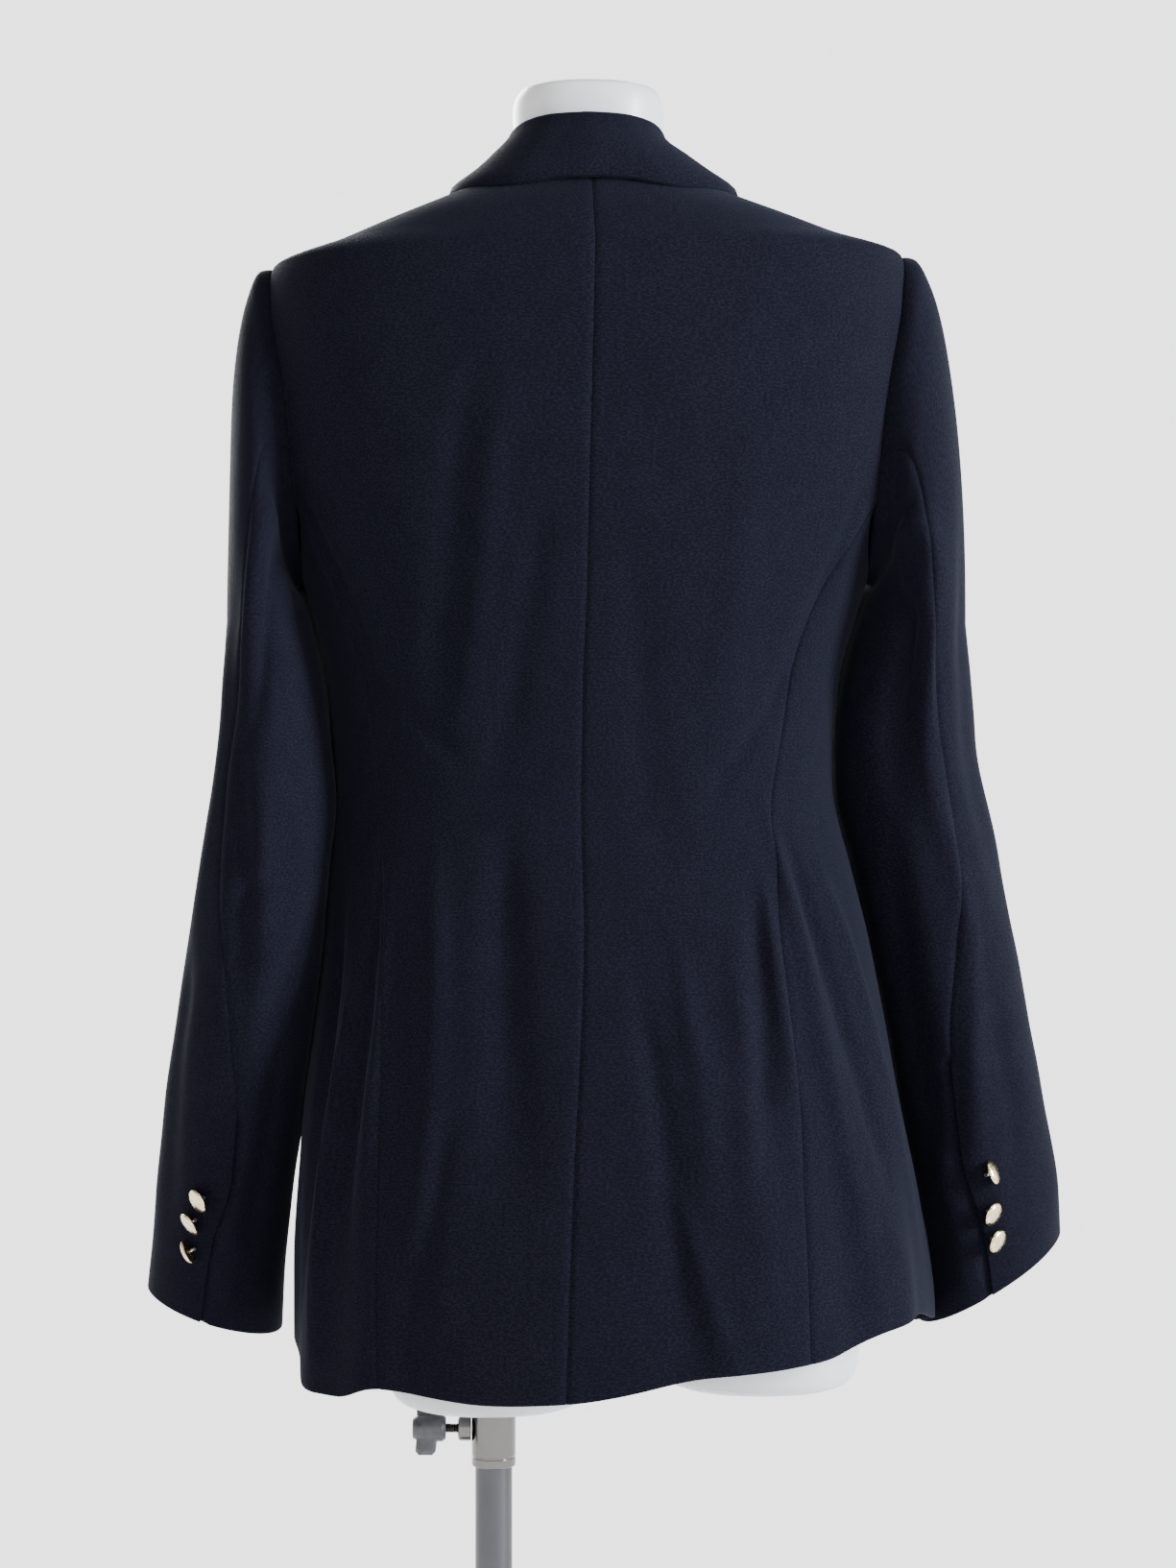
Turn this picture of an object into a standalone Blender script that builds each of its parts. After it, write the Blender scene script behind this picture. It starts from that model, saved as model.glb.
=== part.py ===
"""Double-breasted blazer worn on a limbless dress form that stands on a pole and a round base.

Metres, +Z up. The wearer's front faces -Y and the wearer's left side is +X. The origin is the
centre of the base plate's underside. The garment's tables give heights above the waist line,
which is WAIST_Z above the floor.
"""

import math

import bmesh
import bpy
import numpy as np
from mathutils import Matrix, Vector

# Driving dimensions
WAIST_Z = 1.08
CLOTH = 0.0020
LAPEL_CLOTH = 0.0024
COLLAR_CLOTH = 0.0028
SEAM_GAP = 0.0004
SLEEVE_SEAM_GAP = 0.0006
LAYER_GAP = 0.0004

HEM_Z = -0.334
SHOULDER_TIP_Z = 0.3105
SHOULDER_DROP = 0.105
SHOULDER_DROP_Z = (0.22, 0.30)
BACK_NECK_Z = 0.3560
ARMHOLE_MID_Z = 0.2150
ARMHOLE_HALF_HEIGHT = 0.0955
ARMHOLE_BACK_DEG = 25.0
ARMHOLE_FRONT_DEG = 29.0
FULLNESS = 0.22

LOW_ROWS = 14
SIGN = {"left": 1, "right": -1}
NEAR_ANGLE = 0.004
NEAR_HEIGHT = 0.0015
FORM_SIDES = 28

OVERLAP_X = 0.075
BREAK_Z = 0.030
LAP_ROOM = 0.0004
LAP_LIFT = CLOTH + LAYER_GAP + LAP_ROOM
LAP_END_X = (0.082, 0.116)
LAP_END_Z = (0.215, 0.270)

FRONT_BUTTON_R = 0.0100
FRONT_BUTTON_LIFT = 0.0007
CUFF_BUTTON_R = 0.0075

POLE_XY = (0.056, 0.012)
POLE_R = 0.0110
POLE_TOP_Z = -0.150
SOCKET_R = 0.0131
SOCKET_BOTTOM_Z = -0.4045
CLAMP_Z = -0.3826
BORE_R = 0.0116
BORE_TOP_Z = -0.070
STUB_BOTTOM_Z = -0.3620
BASE_R = 0.190
BASE_THICK = 0.008
HUB_R = 0.024
HUB_HEIGHT = 0.045
HUB_FOOT_R = 0.032
BORE_OVERRUN = 0.02
POLE_EDGE = 0.0015
NUT_HOLE_R = 0.0042
NUT_R = 0.0075
NUT_LONG = 0.0076
NUT_EDGE = 0.001
SCREW_R = 0.003
SCREW_LONG = 0.0190
KNOB_OUT = 0.0150
KNOB_LEAN_DEG = 24.0
LOBE_R = 0.0085
LOBE_REACH = 0.9
LOBE_FLAT = 0.62
LOBE_SWEEP = 0.10
# The knob's turned hub, and the lobes' rings: radius or growth, and height
KNOB_PROFILE = (
    (0, 0.0065), (0.0034, 0.0065), (0.0034, 0), (0.0065, 0), (0.0080, 0.002), (0.0080, 0.016),
    (0.0060, 0.0195), (0, 0.0195),
)
LOBE_RINGS = ((0.86, 0.0050), (1.0, 0.0070), (1.0, 0.0150), (0.86, 0.0170))
# The plate's and the button's profiles, as shares of their radius, and height
PLATE_EDGE = 0.003
BUTTON_PROFILE = (
    (0.20, 0.0), (0.20, 0.0030), (0.80, 0.0034), (1.0, 0.0044), (0.93, 0.0056), (0.62, 0.0068), (0, 0.0074),
)

# The jacket's horizontal sections: height, half width, depth behind and in front of the side line
BODY_COLUMNS = ("z", "half_width", "back", "front")
BODY_SECTIONS = (
    (-0.345, 0.1910, 0.1270, 0.1230),
    (-0.280, 0.1880, 0.1265, 0.1225),
    (-0.200, 0.1790, 0.1200, 0.1190),
    (-0.120, 0.1675, 0.1060, 0.1120),
    (-0.050, 0.1570, 0.0930, 0.1060),
    (0.000, 0.1489, 0.0880, 0.1050),
    (0.055, 0.1520, 0.0900, 0.1125),
    (0.110, 0.1650, 0.0950, 0.1200),
    (0.150, 0.1780, 0.0985, 0.1190),
    (0.190, 0.1880, 0.1010, 0.1140),
    (0.230, 0.1935, 0.1010, 0.1040),
    (0.268, 0.1960, 0.0975, 0.0900),
    (0.292, 0.1930, 0.0925, 0.0790),
    (0.3105, 0.1874, 0.0880, 0.0700),
    (0.3222, 0.1535, 0.0835, 0.0640),
    (0.3342, 0.1230, 0.0780, 0.0580),
    (0.3462, 0.0910, 0.0695, 0.0530),
    (0.3560, 0.0665, 0.0610, 0.0500),
)

# How the skirt hangs to one side below the waist: height, shift to +X and turn about the height axis
HANG_COLUMNS = ("z", "shift_x", "turn_deg")
HANG_SECTIONS = (
    (-0.345, -0.0137, 5.0),
    (-0.220, -0.0090, 3.2),
    (-0.100, -0.0043, 1.2),
    (0.000, 0.0030, 0.0),
    (0.055, 0.0034, 0.0),
    (0.110, 0.0020, 0.0),
    (0.360, 0.0000, 0.0),
)

# Soft folds of the skirt and back: angle at the top and the foot of each, heights, half width and depth
FOLD_COLUMNS = ("top_deg", "foot_deg", "top_z", "foot_z", "half_deg", "depth")
FOLDS = (
    (-62.0, -66.0, -0.080, -0.350, 7.0, 0.0060),
    (-50.0, -50.0, -0.120, -0.350, 6.0, -0.0035),
    (-22.0, -30.0, -0.110, -0.240, 6.0, 0.0025),
    (-6.0, -16.0, -0.190, -0.350, 6.0, -0.0025),
    (58.0, 60.0, -0.080, -0.350, 7.0, 0.0055),
    (78.0, 76.0, -0.180, -0.350, 7.0, -0.0035),
    (42.0, 44.0, -0.050, -0.300, 5.0, 0.0030),
    (-96.0, -98.0, -0.150, -0.350, 9.0, 0.0045),
    (104.0, 108.0, -0.150, -0.350, 9.0, 0.0045),
)

# The centre back seam, and on each side the seams from the back to the side panel and on to the front
SEAM_COLUMNS = ("z", "centre", "back_left", "back_right", "front_left", "front_right")
SEAMS = (
    (-0.345, 4.6, 39.8, 39.6, 118.0, 118.0),
    (-0.240, 3.4, 41.0, 40.4, 117.0, 117.0),
    (-0.180, 2.7, 42.6, 41.6, 117.0, 117.0),
    (-0.100, 1.6, 46.5, 41.7, 116.0, 116.0),
    (-0.030, 0.7, 50.8, 45.0, 116.0, 116.0),
    (0.030, 0.0, 54.0, 50.7, 116.0, 116.0),
    (0.100, -0.4, 60.6, 55.6, 115.0, 115.0),
    (0.150, -0.6, 66.0, 64.8, 113.5, 113.5),
    (0.175, -0.7, 71.4, 71.4, 113.0, 113.0),
    (0.356, -1.6, 80.0, 80.0, 110.0, 110.0),
)

# The hem's height round the body
HEM_COLUMNS = ("deg", "z")
HEM = (
    (-180.0, -0.336),
    (-130.0, -0.334),
    (-90.0, -0.316),
    (-72.0, -0.307),
    (-60.0, -0.311),
    (-45.0, -0.323),
    (-20.0, -0.331),
    (5.0, -0.346),
    (18.0, -0.348),
    (40.0, -0.343),
    (52.0, -0.351),
    (62.0, -0.350),
    (75.0, -0.338),
    (92.0, -0.328),
    (130.0, -0.334),
    (180.0, -0.336),
)
HEM_REACH = 0.12

# The sleeves below the underarm: height, middle, half width outwards and half depth to the back
SLEEVE_COLUMNS = ("z", "left_x", "left_half", "left_y", "right_x", "right_half", "right_y", "half_depth")
SLEEVE_SECTIONS = (
    (0.095, 0.1895, 0.0240, 0.008, 0.1975, 0.0280, -0.006, 0.0650),
    (0.030, 0.1865, 0.0310, 0.020, 0.1915, 0.0420, -0.018, 0.0600),
    (-0.050, 0.1912, 0.0362, 0.028, 0.2030, 0.0465, -0.026, 0.0550),
    (-0.130, 0.2012, 0.0403, 0.016, 0.2195, 0.0435, -0.028, 0.0500),
    (-0.210, 0.2140, 0.0410, -0.008, 0.2350, 0.0420, -0.034, 0.0460),
    (-0.275, 0.2230, 0.0400, -0.028, 0.2445, 0.0430, -0.041, 0.0430),
    (-0.320, 0.2278, 0.0410, -0.039, 0.2460, 0.0445, -0.046, 0.0420),
)
CUFF_TILT = {"left": 0.32, "right": 0.62}
CUFF_FOOT_Z = {"left": -0.3185, "right": -0.3000}

# The back seam of the sleeve, as an angle round the sleeve from its outer line towards the back
ARM_SEAM_COLUMNS = ("along", "left", "right")
ARM_SEAM = (
    (0.00, 102.0, 104.0),
    (0.10, 92.0, 96.0),
    (0.24, 74.0, 86.0),
    (0.37, 58.0, 72.0),
    (0.45, 52.0, 66.0),
    (0.55, 58.0, 70.0),
    (0.63, 74.0, 84.0),
    (0.71, 88.0, 100.0),
    (0.77, 98.0, 106.0),
    (0.84, 100.0, 108.0),
    (0.92, 88.0, 100.0),
    (1.00, 84.0, 94.0),
)
ARM_FRONT_SEAM_DEG = 235.0
CAP_SHARE = 0.28
CAP_OUT = 0.021
CAP_SPREAD = (1.0, 0.75, 0.16)
CAP_OUT_SHARE = 0.45
CAP_DOWN_SHARE = 0.62
CUFF_LEAN_Z = (0.020, -0.310)
CUFF_LEAN_BACK = 0.10
SLEEVE_START = 0.004
SLEEVE_ROOM = 0.0020
ROOM_ALONG = (0.02, 0.16)
TOUCH_SOFTNESS = 0.004

# How far the sleeve's side bulges in towards the body, on which it leans
LEAN_COLUMNS = ("z", "left", "right")
LEAN = (
    (-0.300, 0.000, 0.000),
    (-0.205, 0.000, 0.007),
    (-0.130, 0.012, 0.013),
    (-0.040, 0.016, 0.017),
    (0.095, 0.016, 0.020),
)
LEAN_DEG = {"left": 218.0, "right": 198.0}
LEAN_HALF_DEG = 42.0
SLEEVE_FIRST_ALONG = 0.03
SLEEVE_NORMAL_SPAN = (0.012, 0.985)
SLEEVE_NEAR = (0.02, 0.008)

# The cuff buttons: how far along the sleeve each sits, its angle in from the seam, and its two tips
CUFF_BUTTON_COLUMNS = ("along", "in_deg", "tip_back", "tip_out")
CUFF_BUTTONS = {
    "left": ((0.866, 18.0, 6.0, 0.0), (0.892, 18.0, -10.0, 6.0), (0.923, 12.0, 0.0, -22.0)),
    "right": ((0.868, 14.0, 0.0, 24.0), (0.905, 6.5, 6.0, -8.0), (0.936, 4.5, 4.0, 8.0)),
}
FRONT_BUTTON_ROWS = (0.010, -0.095, -0.200)
FRONT_BUTTON_X = 0.052

# The dress form: height, half width, depth behind and in front, and sideways shift
FORM_COLUMNS = ("z", "half_width", "back", "front", "shift_x")
FORM_SECTIONS = (
    (-0.330, 0.1450, 0.0800, 0.0760, -0.0210),
    (-0.300, 0.1610, 0.1000, 0.0930, -0.0200),
    (-0.240, 0.1670, 0.1090, 0.0960, -0.0160),
    (-0.160, 0.1560, 0.0980, 0.0900, -0.0080),
    (-0.080, 0.1340, 0.0780, 0.0800, -0.0020),
    (0.000, 0.1200, 0.0680, 0.0780, 0.0010),
    (0.070, 0.1290, 0.0740, 0.0920, 0.0000),
    (0.140, 0.1430, 0.0840, 0.1040, 0.0000),
    (0.200, 0.1500, 0.0880, 0.0960, 0.0000),
    (0.250, 0.1590, 0.0880, 0.0820, 0.0000),
    (0.280, 0.1620, 0.0860, 0.0740, 0.0000),
    (0.300, 0.1600, 0.0830, 0.0670, 0.0000),
    (0.3115, 0.1540, 0.0800, 0.0610, 0.0000),
    (0.3193, 0.1450, 0.0790, 0.0590, 0.0000),
    (0.3312, 0.1230, 0.0750, 0.0550, 0.0000),
    (0.3432, 0.0908, 0.0665, 0.0500, 0.0000),
    (0.3510, 0.0660, 0.0570, 0.0460, 0.0000),
    (0.3575, 0.0540, 0.0500, 0.0435, 0.0000),
    (0.3660, 0.0468, 0.0465, 0.0425, 0.0000),
    (0.382, 0.0444, 0.0450, 0.0430, 0.0000),
    (0.402, 0.0450, 0.0440, 0.0430, 0.0000),
    (0.411, 0.0420, 0.0410, 0.0400, 0.0000),
    (0.414, 0.0340, 0.0330, 0.0320, 0.0000),
)

# The two thigh ends of the form: height, half width and half depth
STUB_COLUMNS = ("z", "half_width", "half_depth")
STUB_SECTIONS = (
    (-0.3620, 0.0520, 0.0690),
    (-0.3595, 0.0575, 0.0750),
    (-0.3520, 0.0610, 0.0800),
    (-0.3200, 0.0625, 0.0830),
    (-0.2700, 0.0635, 0.0850),
)
STUBS = {"left": (0.0570, 0.0), "right": (-0.0990, 0.012)}

# The lapel's edges on its own side's front: distance towards its own side, and height
ROLL_LEAN = 0.20
LAPEL_ROLL = 0.0024
LAPEL_ROLL_SHARE = 0.22
LAPEL_TIP_RISE = 0.0008
LAPEL_INSET = 0.001
LEFT_LAPEL_FOOT_Z = 0.146
LEFT_LAPEL_CLEAR = 0.0020
ROLL_TOP = (0.0580, 0.3180)
NOTCH = (0.0920, 0.2850)
PEAK = (0.1380, 0.3030)
COLLAR_POINT = (0.1120, 0.3030)
LAPEL_OUTER_RIGHT = ((-0.0740, 0.034), (-0.035, 0.085), (0.030, 0.158), (0.098, 0.243), PEAK)
LAPEL_OUTER_LEFT = ((0.0250, 0.150), (0.045, 0.173), (0.075, 0.213), (0.110, 0.260), PEAK)

# The collar's seam with the neck, its fold and its outer edge, from the centre back to the gorge
COLLAR_COLUMNS = ("seam", "fold", "edge_deg", "edge_z", "edge_lift")
COLLAR_STATIONS = (
    ((0.0000, 0.0590, 0.3590), (0.0000, 0.0560, 0.3880), 0.0, 0.3460, 0.0024),
    ((0.0220, 0.0550, 0.3588), (0.0180, 0.0520, 0.3880), 24.0, 0.3463, 0.0024),
    ((0.0410, 0.0440, 0.3584), (0.0340, 0.0410, 0.3866), 48.0, 0.3468, 0.0024),
    ((0.0560, 0.0240, 0.3578), (0.0440, 0.0215, 0.3838), 72.0, 0.3474, 0.0024),
    ((0.0620, -0.0020, 0.3570), (0.0480, -0.0030, 0.3800), 92.0, 0.3472, 0.0024),
    ((0.0625, -0.0250, 0.3535), (0.0520, -0.0250, 0.3700), 122.0, 0.3415, 0.0036),
    ((0.0605, -0.0450, 0.3430), (0.0535, -0.0455, 0.3530), 134.0, 0.3340, 0.0042),
    ((0.0585, -0.0590, 0.3300), (0.0545, -0.0610, 0.3370), 140.0, 0.3220, 0.0042),
)
COLLAR_SHIFT_X = -0.0020
COLLAR_SHIFT_LOW_Z = (0.354, 0.362)
COLLAR_SHIFT_HIGH_Z = (0.371, 0.383)
COLLAR_VALLEY = 0.006
COLLAR_FALL_MIDDLE = 0.52
COLLAR_END_SEAM = (0.0008, 0.0032, 0.0006)
COLLAR_END_STAND = 0.0030
# How the collar's end stands off the front at its fold, the notch and its point: to the side, up, out
COLLAR_END = ((0, 0.0006, 0.0030), (-0.0006, 0.0012, 0.0026), (0, 0.0008, 0.0036))
COLLAR_LEFT_RISE = 0.0028
COLLAR_BOW = 0.0012
COLLAR_ROWS = 19


def column(columns, rows, name):
    """One named column of a table, as an array."""
    return np.array([row[columns.index(name)] for row in rows], float)


def smooth(xs, ys, x):
    """A curve through a table's values that never overshoots them."""
    xs, ys, x = np.asarray(xs, float), np.asarray(ys, float), np.asarray(x, float)
    step, rise = np.diff(xs), np.diff(ys)
    slope = rise / step
    tangent = np.concatenate([[slope[0]], np.zeros(len(xs) - 2), [slope[-1]]])
    for i in range(1, len(xs) - 1):
        if slope[i - 1] * slope[i] > 0:
            tangent[i] = 2 * slope[i - 1] * slope[i] / (slope[i - 1] + slope[i])
    x = np.clip(x, xs[0], xs[-1])
    i = np.clip(np.searchsorted(xs, x) - 1, 0, len(xs) - 2)
    t = (x - xs[i]) / step[i]
    return (
        ys[i] * (1 + 2 * t) * (1 - t) ** 2
        + tangent[i] * step[i] * t * (1 - t) ** 2
        + ys[i + 1] * t * t * (3 - 2 * t)
        - tangent[i + 1] * step[i] * t * t * (1 - t)
    )


def from_table(columns, rows, name, z):
    """A table's named column as a smooth function of its first column."""
    return smooth(column(columns, rows, columns[0]), column(columns, rows, name), z)


def ease(x):
    x = np.clip(x, 0.0, 1.0)
    return x * x * (3 - 2 * x)


def ease_over(x, span):
    return ease((x - span[0]) / (span[1] - span[0]))


def section(half_width, back, front, phi):
    """A point of a full-cornered oval; phi is 0 at the centre back and a quarter turn at the side."""
    depth = np.where(np.cos(phi) >= 0, back, front)
    return half_width * np.sin(phi), depth * np.cos(phi) * (1 + FULLNESS * np.sin(phi) ** 2)


def fold_depth(phi, z):
    """How far the skirt's soft folds push the cloth out at one place."""
    total = np.zeros(np.broadcast(phi, z).shape)
    degrees = np.degrees(phi)
    for row in FOLDS:
        top_deg, foot_deg, top_z, foot_z, half_deg, depth = row
        down = (top_z - z) / (top_z - foot_z)
        middle = top_deg + (foot_deg - top_deg) * np.clip(down, 0, 1)
        across = (degrees - middle) / half_deg
        total = total + depth * np.exp(-across**2) * ease(down * 1.4)
    return total


def shoulder_drop(x, z):
    """The left shoulder hangs a little lower than the right one."""
    return SHOULDER_DROP * x * np.abs(x) * ease_over(z, SHOULDER_DROP_Z)


def body_base(phi, z):
    """The outer surface of the jacket's body, without an offset."""
    phi, z = np.broadcast_arrays(np.asarray(phi, float), np.asarray(z, float))
    width, back, front = (from_table(BODY_COLUMNS, BODY_SECTIONS, n, z) for n in BODY_COLUMNS[1:])
    x, y = section(width, back, front, phi)
    length = np.hypot(x, y) + 1e-9
    out = fold_depth(phi, z)
    x, y = x * (1 + out / length), y * (1 + out / length)
    turn = np.radians(from_table(HANG_COLUMNS, HANG_SECTIONS, "turn_deg", z))
    shift = from_table(HANG_COLUMNS, HANG_SECTIONS, "shift_x", z)
    x, y = x * np.cos(turn) + y * np.sin(turn) + shift, y * np.cos(turn) - x * np.sin(turn)
    return np.stack([x, y, z - shoulder_drop(x, z)], -1)


def normals_of(surface, u, v, du, dv):
    """Unit normals of a surface function, from its own neighbouring points."""
    along_u = surface(u + du, v) - surface(u - du, v)
    along_v = surface(u, v + dv) - surface(u, v - dv)
    normal = np.cross(along_v, along_u)
    return normal / (np.linalg.norm(normal, axis=-1, keepdims=True) + 1e-12)


def body_point(phi, z, out=0.0):
    """A point of the jacket's body, moved out along the surface's normal."""
    normal = normals_of(body_base, phi, z, NEAR_ANGLE, NEAR_HEIGHT)
    return body_base(phi, z) + normal * np.asarray(out)[..., None]


def phi_front(x, z):
    """The angle, on the left side, of a front point that lies x towards the left."""
    width = from_table(BODY_COLUMNS, BODY_SECTIONS, "half_width", z)
    return math.pi - np.arcsin(np.clip(x / width, -0.999, 0.999))


def gap_angle(phi, z):
    """Half the seam gap as an angle."""
    reach = np.linalg.norm(body_base(phi + NEAR_ANGLE, z) - body_base(phi - NEAR_ANGLE, z), axis=-1)
    return NEAR_ANGLE * SEAM_GAP / reach


def armhole_phi(z, back):
    """The armhole's edge at one height, on the back or on the front."""
    level = np.clip((z - ARMHOLE_MID_Z) / ARMHOLE_HALF_HEIGHT, -1, 1)
    reach = np.sqrt(1 - level**2)
    return np.radians(90 - ARMHOLE_BACK_DEG * reach if back else 90 + ARMHOLE_FRONT_DEG * reach)


def seam_phi(z, name):
    return np.radians(from_table(SEAM_COLUMNS, SEAMS, name, z))


def seam_meets_armhole(name):
    """The height at which a side seam runs into the armhole."""
    z = np.linspace(ARMHOLE_MID_Z - ARMHOLE_HALF_HEIGHT, ARMHOLE_MID_Z, 400)
    apart = seam_phi(z, name) - armhole_phi(z, name.startswith("back"))
    return float(z[np.argmin(np.abs(apart))])


def hemmed(phi, z):
    """Heights near the hem, moved so that the lowest row follows the hem's own line."""
    wanted = smooth(column(HEM_COLUMNS, HEM, "deg"), column(HEM_COLUMNS, HEM, "z"), np.degrees(phi))
    return z + (wanted - HEM_Z) * (1 - ease((z - HEM_Z) / HEM_REACH))


def clear_scene():
    for thing in list(bpy.data.objects):
        bpy.data.objects.remove(thing)


def material(name, colour, roughness, metallic=0.0):
    made = bpy.data.materials.new(name)
    made.use_nodes = True
    shader = made.node_tree.nodes["Principled BSDF"]
    shader.inputs["Base Color"].default_value = (*colour, 1.0)
    shader.inputs["Roughness"].default_value = roughness
    shader.inputs["Metallic"].default_value = metallic
    return made


def add_mesh(name, points, faces, finish, smooth_deg=40.0):
    """One named object. Its points are in the waist frame and are lifted to their real height."""
    mesh = bpy.data.meshes.new(name)
    mesh.from_pydata([tuple(p) for p in points], [], faces)
    grown = bmesh.new()
    grown.from_mesh(mesh)
    bmesh.ops.remove_doubles(grown, verts=grown.verts, dist=1e-6)
    bmesh.ops.recalc_face_normals(grown, faces=grown.faces)
    if grown.calc_volume(signed=True) < 0:
        bmesh.ops.reverse_faces(grown, faces=grown.faces)
    grown.to_mesh(mesh)
    grown.free()
    mesh.shade_smooth()
    mesh.set_sharp_from_angle(angle=math.radians(smooth_deg))
    mesh.materials.append(finish)
    made = bpy.data.objects.new(name, mesh)
    made.location.z = WAIST_Z
    bpy.context.scene.collection.objects.link(made)
    return made


def wall(name, outer, inner, finish):
    """A closed wall between two grids of points that match row for row."""
    rows, columns = outer.shape[:2]
    count = rows * columns
    points = np.concatenate([outer.reshape(-1, 3), inner.reshape(-1, 3)])
    faces = []
    for r in range(rows - 1):
        for c in range(columns - 1):
            a = r * columns + c
            b, d, e = a + 1, a + columns, a + columns + 1
            faces.append((a, b, e, d))
            faces.append((count + a, count + d, count + e, count + b))
    rim = [c for c in range(columns)]
    rim += [r * columns + columns - 1 for r in range(1, rows)]
    rim += [(rows - 1) * columns + c for c in range(columns - 2, -1, -1)]
    rim += [r * columns for r in range(rows - 2, 0, -1)]
    # The rim's triangles all lean the same way, so that two walls at one seam stay parallel
    for a, b in zip(rim, rim[1:] + rim[:1]):
        if a < b:
            faces += [(a, count + a, count + b), (a, count + b, b)]
        else:
            faces += [(a, count + a, b), (count + a, count + b, b)]
    return add_mesh(name, points, faces, finish)


def spread(low, high, count):
    return np.linspace(low, high, count)


def panel_rows(meet_z):
    """Heights of a panel that runs from the hem over the armhole to the shoulder and the neck."""
    lower = spread(HEM_Z, meet_z, LOW_ROWS)
    start = math.acos((meet_z - ARMHOLE_MID_Z) / ARMHOLE_HALF_HEIGHT)
    middle = ARMHOLE_MID_Z + ARMHOLE_HALF_HEIGHT * np.cos(spread(start, 0, 8)[1:])
    upper = spread(SHOULDER_TIP_Z, BACK_NECK_Z, 7)[1:]
    return np.concatenate([lower, middle, upper])


def body_wall(name, phi, z, lift, sign, finish):
    """A panel's wall on the body, from a grid of the wearer's left side or its mirror image's."""
    phi = phi * sign
    z = hemmed(phi, z)
    return wall(name, body_point(phi, z, lift), body_point(phi, z, lift - CLOTH), finish)


def back_panel(side, sign, finish):
    """Half of the back, from the centre seam to the side seam, armhole and shoulder seam."""
    seam = "back_" + side
    meet_z = seam_meets_armhole(seam)
    z = panel_rows(meet_z)
    outer_edge = np.where(z <= meet_z, seam_phi(z, seam), armhole_phi(z, True))
    outer_edge = np.where(z >= SHOULDER_TIP_Z - 1e-6, math.pi / 2, outer_edge)
    low = seam_phi(z, "centre") * sign + gap_angle(0 * z, z)
    high = outer_edge - gap_angle(outer_edge, z)
    across = spread(0, 1, 9)[None, :]
    phi = low[:, None] * (1 - across) + high[:, None] * across
    z = np.repeat(z[:, None], across.size, 1)
    return body_wall(seam, phi, z, 0 * z, sign, finish)


def side_panel(side, sign, finish):
    """The panel under the arm, between the back and the front, up to the foot of the armhole."""
    back_seam, front_seam = "back_" + side, "front_" + side
    back_top, front_top = seam_meets_armhole(back_seam), seam_meets_armhole(front_seam)
    rows, columns = LOW_ROWS, 7
    share = spread(0, 1, columns)
    ends = seam_phi(back_top, back_seam), seam_phi(front_top, front_seam)
    top_phi = smooth((0, 0.5, 1), (ends[0], math.pi / 2, ends[1]), share)
    reach = np.where(top_phi < math.pi / 2, np.radians(ARMHOLE_BACK_DEG), np.radians(ARMHOLE_FRONT_DEG))
    level = np.sqrt(np.clip(1 - ((top_phi - math.pi / 2) / reach) ** 2, 0, 1))
    top_z = ARMHOLE_MID_Z - ARMHOLE_HALF_HEIGHT * level - SEAM_GAP
    phi, z = np.zeros((rows, columns)), np.zeros((rows, columns))
    for r, up in enumerate(spread(0, 1, rows)):
        z[r] = HEM_Z + (top_z - HEM_Z) * up
        low = seam_phi(z[r], back_seam)
        high = seam_phi(z[r], front_seam)
        low, high = low + gap_angle(low, z[r]), high - gap_angle(high, z[r])
        along = low + (high - low) * share
        phi[r] = along + (top_phi - along) * ease((up - 0.75) / 0.25) * np.sin(math.pi * share)
    return body_wall("side_" + side, phi, z, 0 * z, sign, finish)


def roll_line(z):
    """The folded front edge above the break: how far it lies towards its own side."""
    slope = (ROLL_TOP[0] + OVERLAP_X) / (ROLL_TOP[1] - BREAK_Z)
    low = -OVERLAP_X + (z - BREAK_Z) * slope
    high = ROLL_TOP[0] + (z - ROLL_TOP[1]) * ROLL_LEAN
    return np.where(z < BREAK_Z, -OVERLAP_X, np.where(z < ROLL_TOP[1], low, high))


def lap_lift(x, z, side):
    """How far the right front is lifted to lie over the left one."""
    if side == "left":
        return 0 * (x + z)
    return LAP_LIFT * (1 - ease_over(x, LAP_END_X)) * (1 - ease_over(z, LAP_END_Z))


def own_side_x(phi, z):
    return from_table(BODY_COLUMNS, BODY_SECTIONS, "half_width", z) * np.sin(phi)


def front_panel(side, sign, finish):
    """One front, from its side seam, armhole and shoulder seam to the front edge and roll line."""
    seam = "front_" + side
    meet_z = seam_meets_armhole(seam)
    z = panel_rows(meet_z)
    outer_edge = np.where(z <= meet_z, seam_phi(z, seam), armhole_phi(z, False))
    outer_edge = np.where(z >= SHOULDER_TIP_Z - 1e-6, math.pi / 2, outer_edge)
    low, high = outer_edge + gap_angle(outer_edge, z), phi_front(roll_line(z), z)
    across = spread(0, 1, 11)[None, :]
    phi = low[:, None] * (1 - across) + high[:, None] * across
    z = np.repeat(z[:, None], across.size, 1)
    return body_wall(seam, phi, z, lap_lift(own_side_x(phi, z), z, side), sign, finish)


def polyline(points, share):
    """Points at equal shares of the way along a short list of points."""
    points = np.array(points, float)
    reach = np.concatenate([[0], np.cumsum(np.linalg.norm(np.diff(points, axis=0), axis=1))])
    at = np.asarray(share) * reach[-1]
    return np.stack([smooth(reach, points[:, 0], at), smooth(reach, points[:, 1], at)], -1)


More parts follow.
